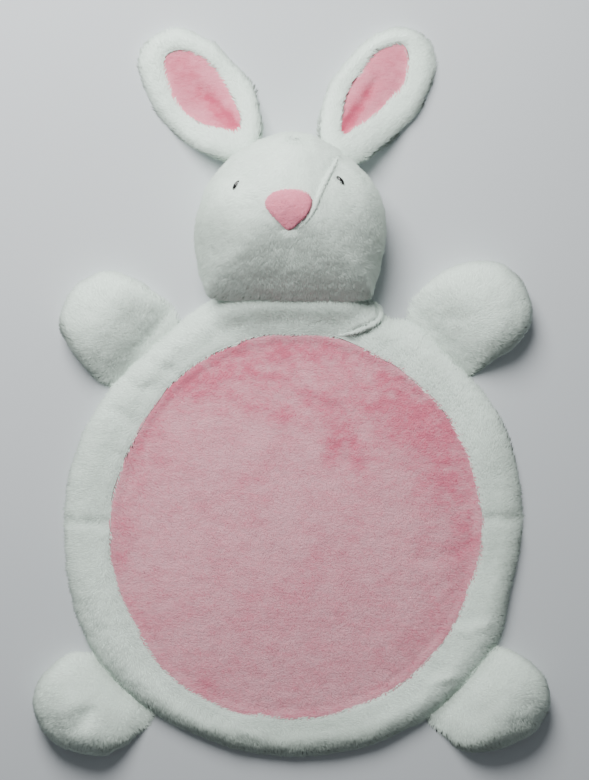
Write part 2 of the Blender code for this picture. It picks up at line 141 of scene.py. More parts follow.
# Smooth noise from -1 to 1: random numbers on a lattice, eased between its corners.
class Noise:
    def __init__(self, seed, size=40):
        self.size = size
        self.table = np.random.default_rng(seed).uniform(-1, 1, (size,) * 3)

    def at(self, points, scale):
        place = points / scale
        corner = np.floor(place).astype(int)
        part = place - corner
        part = part * part * (3 - 2 * part)
        total = 0.0
        for step in np.ndindex(2, 2, 2):
            index = np.mod(corner + step, self.size)
            weight = np.prod(np.where(np.array(step), part, 1 - part), axis=-1)
            total = total + weight * self.table[index[..., 0], index[..., 1], index[..., 2]]
        return total

    def layers(self, points, scale, count=3):
        return sum(self.at(points + 17.3 * n, scale / 2**n) / 2**n for n in range(count))


# Centres of the clumps of pile: one random place in each cell of a lattice.
class Tufts:
    def __init__(self, seed, size=32):
        self.size = size
        self.table = np.random.default_rng(seed).uniform(0.1, 0.9, (size, size, size, 3))

    def nearest(self, points, scale):
        place = points / scale
        corner = np.floor(place).astype(int)
        best, found = np.full(len(points), 1e9), np.zeros_like(points)
        for step in np.ndindex(3, 3, 3):
            cell = corner + step - 1
            index = np.mod(cell, self.size)
            centre = cell + self.table[index[:, 0], index[:, 1], index[:, 2]]
            distance = np.sum((centre - place) ** 2, axis=1)
            nearer = distance < best
            best = np.where(nearer, distance, best)
            found[nearer] = centre[nearer]
        return found * scale


noise = Noise(randomSeed)
tufts = Tufts(randomSeed + 1)


def unit(vectors):
    return vectors / np.maximum(np.linalg.norm(vectors, axis=-1, keepdims=True), 1e-9)


# Outward normals of a surface whose rows run from its upper pole to its lower one and whose columns go round.
def gridNormals(points):
    down = np.gradient(points, axis=0)
    around = np.roll(points, -1, axis=1) - np.roll(points, 1, axis=1)
    normals = np.cross(down, around)
    normals[0], normals[-1] = normals[1].sum(axis=0), normals[-2].sum(axis=0)
    return unit(normals)


# Rows between the steps of a section, on a cubic through them. A row is a share and a height.
def sectionRows(section, steps):
    rings = np.array(section, float)
    padded = np.vstack([rings[:1], rings, rings[-1:]])
    rows = []
    for n, count in enumerate(steps):
        along = np.arange(count)[:, None] / count
        p0, p1, p2, p3 = padded[n : n + 4]
        rows.append(
            p1
            + 0.5 * along * (p2 - p0 + along * (2 * p0 - 5 * p1 + 4 * p2 - p3 + along * (3 * (p1 - p2) + p3 - p0)))
        )
    rows.append(rings[-1:])
    return np.vstack(rows)


# Rows of the section of a pad with a sunk panel: their shares, their heights, and which are on its top.
def framedRows(piece):
    shares, heights = sectionRows(piece["section"], piece["rows"]).T
    return shares, heights, np.arange(len(shares)) <= np.argmax(shares)


# Places on the rays of turns: share -1 is the middle of the sunk panel, 0 is its edge and 1 is the pad's outer
# edge.
def framedPlaces(piece, shares, turns):
    rays = np.radians(turns)
    ways = np.stack([np.cos(rays), np.sin(rays)], axis=-1)
    middle = np.array(piece["panelCentre"], float)
    inner = middle + ways * reachAt(piece["panelEdge"], turns)[:, None]
    outer = np.array(piece["centre"], float) + ways * reachAt(piece["edge"], turns)[:, None]
    shares = np.asarray(shares, float)[:, None, None]
    inside = middle + (inner - middle) * (1 + shares)
    outside = inner + (outer - inner) * shares
    return np.where(shares < 0, inside, outside)


# A pad with a sunk panel: each row of its section is laid round the pad, and shape gives the heights. On the
# border's top its inner edge is fuller, laps over the panel, and waves in and out.
def framedSurface(piece, shape):
    columns, lip = piece["columns"], piece["lip"]
    rows = framedRows(piece)
    places = framedPlaces(piece, rows[0], evenTurns(columns))
    shares, heights, onTop = (np.repeat(row[:, None], columns, axis=1) for row in rows)
    atLip = np.where(onTop & (shares > 0.01), bell(shares - lip["at"], lip["spread"]), 0.0)
    heights = shape(places[..., 0], places[..., 1], heights, shares, onTop) + lip["rise"] * atLip
    points = np.dstack([places, heights])
    out = unit(points * [1, 1, 0] - [*piece["panelCentre"], 0])
    wave = lip["lap"] + lip["wave"] * noise.layers(out * lip["round"], lip["waveSize"], 2)
    return points - out * (atLip * wave)[..., None]


# The skin under a pad's pile. The bed of its panel is only lowered.
def framedSkin(piece, surface):
    shares, _, onTop = framedRows(piece)
    bed = onTop & (shares < piece["bed"]["edge"])
    skin = setIn(surface, piece["pileDepth"])
    skin[bed] = surface[bed] - [0, 0, piece["bed"]["drop"]]
    return skin


# Height of the bed at a share of the way from the panel's middle to its edge.
def bedHeight(piece, share):
    rings = np.array(piece["section"][: piece["bed"]["rings"]])
    return np.interp(share - 1, rings[:, 0], rings[:, 1])


# A ball pulled out to an outline: share of the reach is cos(tilt)^side, and height over the waist follows
# sin(tilt)^top.
def stuffedSurface(piece, shape):
    down = np.linspace(0, 2, piece["rows"])[:, None]
    even = np.sin(np.pi / 2 * np.minimum(down, 2 - down))  # rings evenly spread from the pole
    tilts = np.where(down <= 1, 1, -1) * np.arccos(np.clip(even ** (1 / piece["sideFullness"]), 0, 1))
    turns = evenTurns(piece["columns"])
    out = reachAt(piece["edge"], turns) * np.maximum(np.cos(tilts), 0) ** piece["sideFullness"]
    rise = np.abs(np.sin(tilts)) ** piece["topFullness"]
    waist = piece["waist"]
    upper = waist + (piece["crown"] - waist) * rise
    lower = np.maximum(waist - (waist + piece["sink"]) * rise, 0.0)
    height = np.broadcast_to(np.where(tilts >= 0, upper, lower), out.shape)
    lifted = np.broadcast_to(np.where(tilts >= 0, rise, 0.0), out.shape)
    return np.dstack(shape(*placeAt(piece["centre"], out, turns), height, lifted))


# Moves a surface in by the length of its pile. Its flat underside stays where it rests.
def setIn(points, depth):
    normals = gridNormals(points)
    inward = normals * [1, 1, 0] + np.maximum(normals, 0) * [0, 0, 1]
    moved = points - inward * depth
    moved[..., 2] = np.maximum(moved[..., 2], lowestSkin)
    return moved


# Points of which those inside are moved out to a reach about a centre.
def pushedOut(points, inside, centre, reach, turns):
    newX, newY = placeAt(centre, reach, turns)
    x, y, z = np.moveaxis(points, -1, 0)
    return np.dstack([np.where(inside, newX, x), np.where(inside, newY, y), z])


# The points of a surface's rows, so thinned in each row that they are about evenly apart.
def thinned(rows, apart=3.0):
    gaps = np.linalg.norm(rows[:, 1] - rows[:, 0], axis=-1)
    steps = np.clip(apart / np.maximum(gaps, 1e-3), 1, rows.shape[1]).astype(int)
    return np.vstack([row[::step] for row, step in zip(rows, steps)])


# Height of a surface at places on it: a plane fitted to its nearest points, the nearer ones counting more.
def heightOver(upper, x, y, count=12):
    offX, offY = upper[None, :, 0] - np.ravel(x)[:, None], upper[None, :, 1] - np.ravel(y)[:, None]
    near = np.argpartition(offX**2 + offY**2, count, axis=1)[:, :count]
    offX, offY = np.take_along_axis(offX, near, axis=1), np.take_along_axis(offY, near, axis=1)
    weight = np.exp(-(offX**2 + offY**2) / 30.0) + 1e-4
    rows = np.stack([np.ones_like(offX), offX, offY], axis=-1)
    square = np.einsum("nki,nkj,nk->nij", rows, rows, weight) + 1e-6 * np.eye(3)
    right = np.einsum("nki,nk,nk->ni", rows, upper[near, 2], weight)
    return np.linalg.solve(square, right[..., None])[:, 0, 0].reshape(np.shape(x))


# One object from points in millimetres and faces of three or four corners, -1 where a corner is left out.
def newMesh(name, points, faces, material, normals=None):
    faces = np.asarray(faces)
    points = np.asarray(points, float) * mm
    corners = faces[faces >= 0]
    sizes = (faces >= 0).sum(axis=1)
    data = bpy.data.meshes.new(name)
    data.vertices.add(len(points))
    data.vertices.foreach_set("co", points.astype(np.float32).ravel())
    data.loops.add(len(corners))
    data.loops.foreach_set("vertex_index", corners.astype(np.int32))
    data.polygons.add(len(sizes))
    data.polygons.foreach_set("loop_start", np.concatenate([[0], np.cumsum(sizes)[:-1]]).astype(np.int32))
    data.polygons.foreach_set("use_smooth", np.ones(len(sizes), bool))
    data.update(calc_edges=True)
    data.validate()
    if normals is not None:
        data.normals_split_custom_set_from_vertices(normals)
    data.materials.append(material)
    piece = bpy.data.objects.new(name, data)
    bpy.context.scene.collection.objects.link(piece)
    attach(piece, "root")
    return piece


# A closed surface from rows of rings, the first and last of which close to one point each.
def closedMesh(name, points, material):
    rows, columns = points.shape[:2]
    rings = points[1:-1].reshape(-1, 3)
    index = 1 + np.arange((rows - 2) * columns).reshape(rows - 2, columns)
    right = np.roll(index, -1, axis=1)
    quads = np.stack([index[:-1], index[1:], right[1:], right[:-1]], axis=-1).reshape(-1, 4)
    last = 1 + len(rings)
    blank = np.full(columns, -1)
    top = np.stack([np.zeros(columns, int), index[0], right[0], blank], axis=-1)
    bottom = np.stack([np.full(columns, last), right[-1], index[-1], blank], axis=-1)
    allPoints = np.vstack([points[0].mean(axis=0), rings, points[-1].mean(axis=0)])
    piece = newMesh(name, allPoints, np.vstack([top, quads, bottom]), material)
    normals = gridNormals(points)
    normals = np.vstack([normals[0, :1], normals[1:-1].reshape(-1, 3), normals[-1, :1]])
    # The white pile's painted shade, which its material multiplies in.
    setAttribute(piece, "dark", paintedShadeAt(allPoints, normals))
    return piece


def setAttribute(piece, name, values):
    piece.data.attributes.new(name, "FLOAT", "POINT").data.foreach_set("value", np.asarray(values, np.float32))


# A pad's skin is made, and the solid it stands for is hidden.
def addPad(name, points, stands, fill):
    pad = closedMesh(name, points, whiteSkin)
    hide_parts(stands)


# Hides the solid of a sewn sheet, which lies on the pad that it is sewn into.
def addSheet(stands, flat, area):
    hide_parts(stands)


lockFaces = np.array([(0, 2, 1), (0, 3, 2), (0, 1, 3), (1, 2, 4), (2, 3, 4), (3, 1, 4)])
# The place of each corner of a lock in one cell of the map: root below, tip above.
lockMap = np.array([(0.5, 0.0), (0.1, 0.45), (0.5, 0.45), (0.9, 0.45), (0.5, 1.0)])
# What all locks share: where they bend, what is left of their lift past the bend, their thickness to their width,
# how lengths and widths vary, the lift and length left where they are calm, how much of the lean to a tuft the
# bend takes, and the least upward part of their own normals.
locks = {
    "bend": 0.45, "tipLift": 0.45, "thickness": 0.8, "lengthNoise": 0.25, "lengthNoiseSize": 18.0,
    "lengthScatter": 0.2, "widthScatter": 0.25, "calmLift": 0.25, "calmLength": 0.55, "bendPull": 0.3,
    "leastUp": -0.3,
}


# Places spread over a surface in proportion to its area times a weight: every count-th part of the summed area
# gets one.
def scatter(points, normals, count, weight, rng):
    right = np.roll(points, -1, axis=1)
    across = np.cross(points[1:] - right[:-1], right[1:] - points[:-1])
    area = 0.5 * np.linalg.norm(across, axis=-1)
    centres = (points[1:] + points[:-1] + right[1:] + right[:-1]) / 4
    ways = unit(across)
    area = area * weight(centres, ways) * (1 + 0.5 * (1 - np.clip(ways[..., 2], 0, 1)))
    total = np.cumsum(area.ravel())
    cells = np.searchsorted(total, (np.arange(count) + rng.random(count)) / count * total[-1])
    row, column = np.unravel_index(np.minimum(cells, area.size - 1), area.shape)
    beside = (column + 1) % points.shape[1]
    down, along = rng.random((2, count, 1))

    def blended(field):
        upper = field[row, column] * (1 - along) + field[row, beside] * along
        lower = field[row + 1, column] * (1 - along) + field[row + 1, beside] * along
        return upper * (1 - down) + lower * down

    return blended(points), unit(blended(normals))


# Painted shade on the white pile: more on steep sides, where the pile would shade itself, and on lower sides, which
# face away from the light; less at the border's inner edge, which is open to the light; painted shade in the seam
# beside the limbs; and at the listed places painted shade, or painted light where the strength is below 0.
def paintedShadeAt(points, normals):
    x, y = points[..., 0], points[..., 1]
    share = matShare(x, y)
    steep = paintedShade["steep"] * smoothStep(1 - np.clip(normals[..., 2], 0, 1), *paintedShade["steepFrom"])
    below = paintedShade["below"] * smoothStep(-normals[..., 1], *paintedShade["belowFrom"])  # painted shade on sides that face away from the light
    byLimbs = paintedShade["byLimbs"] * bell(share - paintedShade["limbsAt"], paintedShade["limbsSpread"])
    dark = (steep + below) * (1 - bell(share, paintedShade["innerEdge"])) + swellAt(paintedShade["places"], x, y) + byLimbs
    return np.clip(dark, 0, paintedShade["most"])


# The part of vectors that lies in the surface.
def inPlane(vectors, normals):
    return vectors - normals * np.sum(vectors * normals, axis=1, keepdims=True)


# Locks of pile spread over a surface, so many by a weight, and laid along a comb.
def addPile(name, points, count, weight, comb, look, kind, seed, brushed=None, calm=None):
    rng = np.random.default_rng(seed)
    root, normal = scatter(points, gridNormals(points), count, weight, rng)
    addLocks(name, root, normal, comb(root), look, kind, rng, brushed, calm)


# A lock is a thin spindle: it leaves the skin at its lift, bends over along the comb, and leans to its tuft.
# Its shading normals are blended with the skin's, as soft pile has no hard sides.
def addLocks(name, root, normal, flow, look, kind, rng, brushed=None, calm=None):
    count = len(root)
    wild = 1.0 if calm is None else 1 - calm(root)  # 0 where the pile lies flat, as on a sewn ridge
    nudge = 0.5

    def reliefAt(places):
        return look["relief"] * noise.layers(places, look["reliefSize"], 2)

    height = reliefAt(root)
    slope = np.stack([reliefAt(root + nudge * way) - height for way in np.eye(3)], axis=-1) / nudge
    root = root + normal * height[:, None]
    normal = unit(normal - inPlane(slope, normal))
    flow = unit(inPlane(flow, normal))
    turn = wild * (look["wander"] * noise.layers(root, look["wanderSize"]) + rng.normal(0, look["scatter"], count))
    turn = np.radians(turn)[:, None]
    flow = flow * np.cos(turn) + np.cross(normal, flow) * np.sin(turn)
    steep = 1 - np.clip(normal[:, 2], 0, 1)
    lift = look["lift"] + look["steepLift"] * steep + rng.normal(0, look["liftScatter"], count)
    lift = np.radians(lift * (locks["calmLift"] + (1 - locks["calmLift"]) * wild))[:, None]
    uneven = locks["lengthNoise"] * noise.at(root, locks["lengthNoiseSize"])
    uneven = uneven + rng.uniform(-locks["lengthScatter"], locks["lengthScatter"], count)
    length = look["length"] * (1 + uneven) * (locks["calmLength"] + (1 - locks["calmLength"]) * wild)
    length = length[:, None]
    middle = root + (flow * np.cos(lift) + normal * np.sin(lift)) * length * locks["bend"]
    lift = locks["tipLift"] * lift
    tip = middle + (flow * np.cos(lift) + normal * np.sin(lift)) * length * (1 - locks["bend"])
    pull = inPlane(tufts.nearest(root, look["tuftSize"]) - root, normal) * look["tuftPull"]
    middle, tip = middle + locks["bendPull"] * pull, tip + pull
    axis = unit(tip - root)
    side = unit(np.cross(axis, normal))
    up = np.cross(side, axis)
    half = 0.5 * look["width"] * rng.uniform(1 - locks["widthScatter"], 1 + locks["widthScatter"], count)[:, None]
    corners = [middle + side * half, middle - side * half, middle + up * half * locks["thickness"]]
    points = np.stack([root - normal * look["rooted"], *corners, tip], axis=1)
    points[..., 2] = np.maximum(points[..., 2], lowestLock)
    own = np.stack([-axis, side, -side, up, axis], axis=1)
    own[..., 2] = np.maximum(own[..., 2], locks["leastUp"])
    soft = normal * [1, 1, 0] + np.maximum(normal[:, 2:], look["rim"]) * [0, 0, 1]  # light comes through a rim's pile
    shaded = unit(look["softness"] * soft[:, None] + (1 - look["softness"]) * own)
    faces = (lockFaces[None] + 5 * np.arange(count)[:, None, None]).reshape(-1, 3)
    faces = np.hstack([faces, np.full((len(faces), 1), -1)])
    material, slot = kind
    pile = newMesh(name, points.reshape(-1, 3), faces, material, shaded.reshape(-1, 3).astype(np.float32))
    setAttribute(pile, "along", np.tile(lockMap[:, 1], count))
    setAttribute(pile, "tint", np.repeat(rng.random(count), 5))
    # Locks given a brushing carry it; the others carry their painted shade.
    if brushed is not None:
        setAttribute(pile, "brushed", np.repeat(brushed(root), 5))
    else:
        setAttribute(pile, "dark", np.repeat(paintedShadeAt(root, normal), 5))
    cells = math.ceil(math.sqrt(count))
    cell = np.stack([np.arange(count) % cells, np.arange(count) // cells], axis=-1)
    map2d = (cell[:, None] + 0.1 + 0.8 * lockMap[lockFaces.ravel()][None]) / cells
    pile.data.uv_layers.new(name="OFBake").uv.foreach_set("vector", map2d.astype(np.float32).ravel())
    pile.visible_shadow = False  # real fibres let the light through, so the skin under them throws the shadow
    print(f"{name}: {count} locks")


# A socket that can be used in an expression. Each operator adds one Math node.
class Value:
    def __init__(self, paint, socket):
        self.paint, self.socket = paint, socket

    def maths(self, operation, *values):
        return self.paint.add("ShaderNodeMath", {"operation": operation}, dict(enumerate(values)))

    def __add__(self, other): return self.maths("ADD", self, other)
    def __sub__(self, other): return self.maths("SUBTRACT", self, other)
    def __rsub__(self, other): return self.maths("SUBTRACT", other, self)
    def __mul__(self, other): return self.maths("MULTIPLY", self, other)

    # 0 at low and below, 1 at high and above, eased in between.
    def between(self, low, high):
        settings = {"interpolation_type": "SMOOTHSTEP"}
        return self.paint.add("ShaderNodeMapRange", settings, {"Value": self, "From Min": low, "From Max": high})


# A material on one Principled shader, whose even values are set on its own sockets.
class Paint:
    def __init__(self, name, **sockets):
        self.material = bpy.data.materials.new(name)
        self.material.use_nodes = True
        self.nodes, self.links = self.material.node_tree.nodes, self.material.node_tree.links
        self.shader = self.nodes["Principled BSDF"]
        for socket, value in sockets.items():
            self.shader.inputs[socket.replace("_", " ")].default_value = value

    def add(self, kind, settings={}, inputs={}, output=0):
        node = self.nodes.new(kind)
        for name, value in settings.items():
            setattr(node, name, value)
        for key, value in inputs.items():
            if isinstance(value, Value):
                self.links.new(value.socket, node.inputs[key])
            else:
                node.inputs[key].default_value = value
        return Value(self, node.outputs[output])

    def place(self):
        return self.add("ShaderNodeTexCoord", output="Object")

    def attribute(self, name):
        return self.add("ShaderNodeAttribute", {"attribute_name": name}, output="Fac")

    # Noise drawn out along a turn about Z, as a nap's streaks are.
    def streaks(self, nap):
        inputs = {"Vector": self.place(), "Rotation": (0, 0, math.radians(nap["turn"])), "Scale": nap["stretch"]}
        vector = self.add("ShaderNodeMapping", {"vector_type": "POINT"}, inputs)
        return self.noise(vector, nap["scale"], 4.0, nap["roughness"])

    def noise(self, vector, scale, detail=2.0, roughness=0.5):
        return self.add(
            "ShaderNodeTexNoise", {}, {"Vector": vector, "Scale": scale, "Detail": detail, "Roughness": roughness}
        )

    # A colour from first to second. Sockets 6 and 7 are the colours of a Mix node.
    def mix(self, factor, first, second, blend="MIX"):
        settings = {"data_type": "RGBA", "blend_type": blend}
        return self.add("ShaderNodeMix", settings, {0: factor, 6: first, 7: second}, 2)

    def bump(self, height, distance, strength=1.0):
        return self.add("ShaderNodeBump", {}, {"Height": height, "Distance": distance, "Strength": strength})

    def drive(self, **values):
        for socket, value in values.items():
            self.links.new(value.socket, self.shader.inputs[socket.replace("_", " ")])
        return self.material


def colour(red, green, blue):
    return (red, green, blue, 1.0)


pileColours = {
    "white": colour(0.84, 0.965, 0.895),
    "whiteShade": colour(0.71, 0.82, 0.75),
    "whitePaintedShade": colour(0.40, 0.41, 0.39),
    "pink": colour(0.84, 0.445, 0.515),
    "pinkDeep": colour(0.70, 0.18, 0.27),
    "lining": colour(0.88, 0.31, 0.40),
    "liningDeep": colour(0.66, 0.11, 0.19),
    "nose": colour(0.86, 0.31, 0.41),
    "noseDeep": colour(0.70, 0.20, 0.28),
}


# The scale of a noise is per metre.
naps = {
    "panel": {"turn": 24.0, "stretch": (1.0, 2.6, 1.0), "scale": 130.0, "roughness": 0.6},
    "nose": {"turn": -8.0, "stretch": (1.0, 3.2, 1.0), "scale": 210.0, "roughness": 0.65},
    "mottle": {"turn": -30.0, "stretch": (1.0, 1.7, 1.0), "scale": 34.0, "roughness": 0.6},
}


# White plush: faint broad changes of tint, each lock a little lighter or darker, its root in painted shade, and the
# pile's painted shade multiplied in from an attribute.
def whitePile(name, isSkin):
    paint = Paint(name, Roughness=0.95, IOR=1.3)
    place = paint.place()
    broad = paint.noise(place, 16.0, 3.0).between(0.3, 0.7)
    if isSkin:
        fine = paint.noise(place, 420.0, 3.0, 0.65)
        shade = broad * 0.5 + fine * 0.4
        paint.drive(Normal=paint.bump(fine, 0.0012))
    else:
        along, tint = paint.attribute("along"), paint.attribute("tint")
        shade = (1 - along.between(0.0, 0.7)) * 0.55 + tint * 0.3 + broad * 0.25
    base = paint.mix(shade, pileColours["white"], pileColours["whiteShade"])
    return paint.drive(Base_Color=paint.mix(paint.attribute("dark"), base, pileColours["whitePaintedShade"], "MULTIPLY"))


# Short pink plush: where it's brushed the other way it is deeper, which along the belly's top edge is also painted
# shade, and fine streaks follow the nap.
def pinkPile(name, light, dark):
    paint = Paint(name, Roughness=0.9, IOR=1.35)
    brushed, streak = paint.attribute("brushed"), paint.streaks(naps["panel"])
    speck = paint.noise(paint.place(), 520.0, 2.0, 0.6)
    mottle = paint.streaks(naps["mottle"]).between(0.35, 0.68)
    depth = brushed * 0.75 + mottle * 0.34 + streak * 0.7 + speck * 0.5 - 0.62
    base = paint.mix(depth, pileColours[light], pileColours[dark])
    return paint.drive(Base_Color=base, Normal=paint.bump(streak * 0.7 + speck * 0.6, 0.0016))


# Pink locks: deeper where they are brushed the other way, with painted shade at the root, each a little different.
def pinkFibres(name, light, dark):
    paint = Paint(name, Roughness=0.9, IOR=1.35)
    along, tint, brushed = paint.attribute("along"), paint.attribute("tint"), paint.attribute("brushed")
    mottle = paint.streaks(naps["mottle"]).between(0.35, 0.68)
    shade = brushed * 0.7 + (1 - along.between(0.0, 0.8)) * 0.3 + tint * 0.45 + mottle * 0.25 - 0.2
    return paint.drive(Base_Color=paint.mix(shade.between(0.0, 1.0), pileColours[light], pileColours[dark]))


# Close-cut pink pile with the nap across the nose.
def nosePile(name):
    paint = Paint(name, Roughness=0.85, IOR=1.4)
    streak, speck = paint.streaks(naps["nose"]), paint.noise(paint.place(), 620.0, 2.0, 0.6)
    base = paint.mix((streak * 0.9 + speck * 0.3).between(0.42, 0.80), pileColours["nose"], pileColours["noseDeep"])
    return paint.drive(Base_Color=base, Normal=paint.bump(streak * 0.7 + speck * 0.5, 0.0012))


# A black glass-like bead with faint haze.
def beadGloss(name):
    paint = Paint(name, Base_Color=colour(0.012, 0.012, 0.013), Roughness=0.12, Coat_Weight=0.6)
    haze = paint.noise(paint.place(), 900.0, 2.0).between(0.3, 0.8)
    return paint.drive(Roughness=haze * 0.08 + 0.1)


whiteSkin = whitePile("whiteSkin", True)
pinkPanel = pinkPile("pinkPanel", "pink", "pinkDeep")
pinkLining = pinkPile("pinkLining", "lining", "liningDeep")
nosePatch = nosePile("nosePatch")
# Each kind of pile is a material and a slot name.
whitePlush = (whitePile("whiteLocks", False), "white_pile")
pinkPlush = (pinkFibres("pinkLocks", "pink", "pinkDeep"), "pink_pile")
nosePlush = (pinkFibres("noseLocks", "nose", "noseDeep"), "nose_pile")
print("materials made")


# Painted shade on the white pile on steep sides, on lower sides and beside the limbs, and where each of these sets
# in. The places get painted shade, or painted light where the strength is below 0: x, y, strength, spread along,
# spread across, turn.
paintedShade = {
    "steep": 0.26, "steepFrom": (0.15, 0.9), "below": 0.15, "belowFrom": (0.1, 0.7), "byLimbs": 0.22,
    "limbsAt": 1.05, "limbsSpread": 0.05, "innerEdge": 0.10, "most": 0.8,
    "places": [
        (-3, 141, -0.36, 110, 14, 0), (-6, 172, 0.08, 60, 30, 0), (-90, 158, -0.13, 24, 24, 0),
        (88, 158, -0.13, 24, 24, 0), (100, 216, 0.26, 34, 46, 0), (-112, 228, 0.46, 26, 32, 0),
        (-4, 220, 0.06, 70, 26, 0), (300, -190, 0.36, 30, 130, 0), (0, -497, 0.36, 190, 30, 0),
        (-300, -190, 0.16, 30, 130, 0), (300, -462, 0.07, 60, 40, 0), (-291, -494, -0.26, 18, 14, 0),
    ],
}

mat = {
    "centre": (0, -195),
    "edge": [
        (2, 331), (15, 334), (28, 339), (38, 336), (50, 335), (60, 342), (66, 334), (71, 351), (80, 346),
        (90, 341), (100, 344), (109, 349), (117, 338), (128, 330), (145, 329), (160, 331), (178, 328),
        (195, 331), (212, 338), (225, 335), (240, 328), (270, 327), (298, 332), (318, 334), (332, 336), (345, 326),
    ],
    "panelCentre": (6, -194),
    "panelEdge": [
        (0, 268), (30, 270), (60, 273), (90, 279), (120, 275), (150, 267), (180, 268), (210, 274),
        (240, 283), (270, 276), (300, 271), (330, 266),
    ],
    "section": [
        (-1.0, 17.5), (-0.70, 17.0), (-0.40, 16.2), (-0.14, 14.0), (-0.02, 11.5), (0.04, 15.5), (0.20, 23.5),
        (0.40, 28.5), (0.58, 29.5), (0.76, 26.5), (0.91, 20.5), (1.0, 12.0), (0.95, 4.0), (0.84, 0.0),
        (-0.30, 0.0), (-1.0, 0.0),
    ],
    "rows": (2, 2, 3, 4, 2, 4, 4, 4, 4, 4, 3, 3, 2, 4, 2),
    "columns": 420,
    "pileDepth": 4.6,
    # The border stands up against the chin: its rise, where that starts and is full, where it ends behind, its
    # middle, and its half width.
    "collar": {"rise": 17.0, "front": (84, 131), "back": (137, 142), "middle": -3, "half": (84, 122)},
    # The inner edge: its rise, where it is most and its spread, how far it laps over the panel, and its waves.
    "lip": {"rise": 5.0, "at": 0.06, "spread": 0.10, "lap": 6.8, "wave": 2.6, "waveSize": 46.0, "round": 270.0},
    # The panel's bed: the share where it ends, how far its skin is lowered, and its rings of the section.
    "bed": {"edge": -0.05, "drop": 0.0, "rings": 4},
    "ripple": 1.1, "rippleSize": 42.0, "fill": 0.45, "locks": 18500, "seamY": -186,
    # Pile starts over this height at the floor, past this share or height by the panel, and not at the neck: its
    # half width, and where it begins.
    "bare": {"skirt": 6.5, "share": 0.14, "height": 19.4, "neck": (100, 139)},
    "swells": [
        (-60, 112, 2.5, 38, 38, 0), (52, 112, 2.0, 34, 34, 0), (146, 84, -2.5, 14, 14, 0),
        (-300, -60, 2.0, 45, 45, 0), (-290, -300, 2.0, 45, 45, 0), (296, -90, 2.5, 45, 45, 0),
        (285, -290, 2.0, 40, 40, 0), (-90, -490, 2.0, 45, 45, 0), (95, -488, 2.5, 45, 45, 0),
    ],
    "creases": [
        ([(108, 136), (121, 126), (127, 114), (123, 104), (106, 94), (86, 86), (68, 83)], 4.0, 4.0, -4.0),
        ([(-370, -183), (-250, -187)], -3.2, 5.0, 0, 0.05, 0.05),
        ([(250, -184), (370, -184)], -3.2, 5.0, 0, 0.05, 0.05),
        ([(-240, 22), (-216, 6), (-190, 4)], -2.0, 4.5, 0),
        ([(-268, -22), (-242, -30), (-222, -46)], -1.8, 4.5, 0),
        ([(-206, 52), (-184, 34), (-160, 32)], -1.8, 4.5, 0),
        ([(228, -348), (256, -338), (288, -331)], 2.4, 5.0, -1.0),
        ([(176, -420), (206, -411), (240, -405)], 2.4, 5.0, -1.0),
        ([(-96, -470), (-72, -486), (-40, -494)], 2.0, 5.0, 1.0),
    ],
    "pleat": {
        "path": [(110, 134), (122, 126), (127, 114), (122, 103), (106, 94), (86, 86), (68, 83)],
        "radius": 3.3, "sunk": 3.3, "taper": 0.4, "locks": 400, "seed": 47,
    },
}


def collarAt(x, y):
    collar = mat["collar"]
    along = smoothStep(y, *collar["front"]) * (1 - smoothStep(y, *collar["back"]))
    return collar["rise"] * along * (1 - smoothStep(np.abs(x - collar["middle"]), *collar["half"]))


# The border's height: its section, plus its swells, creases and collar, which set in from the panel's edge
# outwards.
def matHeights(x, y, heights, shares, onTop):
    onBorder = np.where(onTop, smoothStep(shares, 0.0, 0.2), 0.0)
    relief = swellAt(mat["swells"], x, y) + creaseAt(mat["creases"], x, y)
    ripple = mat["ripple"] * noise.layers(np.dstack([x, y, 0 * x]), mat["rippleSize"])
    return heights + onBorder * (relief + ripple + collarAt(x, y))


# Turn about the mat's centre, share of the way from the panel's edge to the outer edge, and the reach of both.
def matPolar(x, y):
    distance, turns = polarAt(mat["centre"], x, y)
    inner, outer = reachAt(mat["panelEdge"], turns), reachAt(mat["edge"], turns)
    return turns, (distance - inner) / (outer - inner), inner, outer


def matShare(x, y):
    return matPolar(x, y)[1]


# Moves what would be inside the mat's border out to the border's own section at that height.
def clearOfMat(points, gap=0.6, top=30.5):
    x, y, z = np.moveaxis(points, -1, 0)
    turns, share, inner, outer = matPolar(x, y)
    rings = np.array([*mat["section"][13:7:-1], (-2.0, top)])
    wall = np.interp(z, rings[:, 1], rings[:, 0]) + gap / (outer - inner)
    return pushedOut(points, (share < wall) & (z < top), mat["centre"], inner + wall * (outer - inner), turns)


matSurface = framedSurface(mat, matHeights)
matSkin = framedSkin(mat, matSurface)
matTopRows = thinned(matSurface[framedRows(mat)[2]][:-1])
addPad("mat_pad", matSkin, "mat_body", mat["fill"])


# 1 on the border's top and outer side, above or below the side seams.
def borderWeight(half):
    def weight(centres, ways):
        x, y, z = np.moveaxis(centres, -1, 0)
        bare = mat["bare"]
        overPanel = (matShare(x, y) > bare["share"]) | (z > bare["height"])  # the skin under its edge is bare
        inHalf = y > mat["seamY"] if half == "upper" else y <= mat["seamY"]
        neck = (np.abs(x) < bare["neck"][0]) & (y > bare["neck"][1])
        return (overPanel & inHalf & ~neck & (ways[..., 2] > -0.1) & (z > bare["skirt"])).astype(float)
    return weight


# Pile runs outwards over the crown, and along the panel's edge next to it, a little over it.
def borderComb(root):
    share = matShare(root[:, 0], root[:, 1])
    out = unit((root - [*mat["centre"], 0]) * [1, 1, 0])
    outward = np.interp(share, [0.0, 0.10, 0.24], [-0.5, -0.1, 1.0])[:, None]
    along = np.interp(share, [0.0, 0.24], [1.0, 0.55])[:, None]
    return out * outward + np.cross([0, 0, 1], out) * along + [0, 0, -0.2]


plushLook = {
    "length": 9.6, "width": 1.5, "lift": 29.0, "steepLift": 24.0, "liftScatter": 7.0, "wander": 45.0,
    "wanderSize": 46.0, "scatter": 14.0, "tuftSize": 6.0, "tuftPull": 0.22, "rooted": 1.2, "softness": 0.64,
    "relief": 0.55, "reliefSize": 12.0, "rim": 0.14,
}


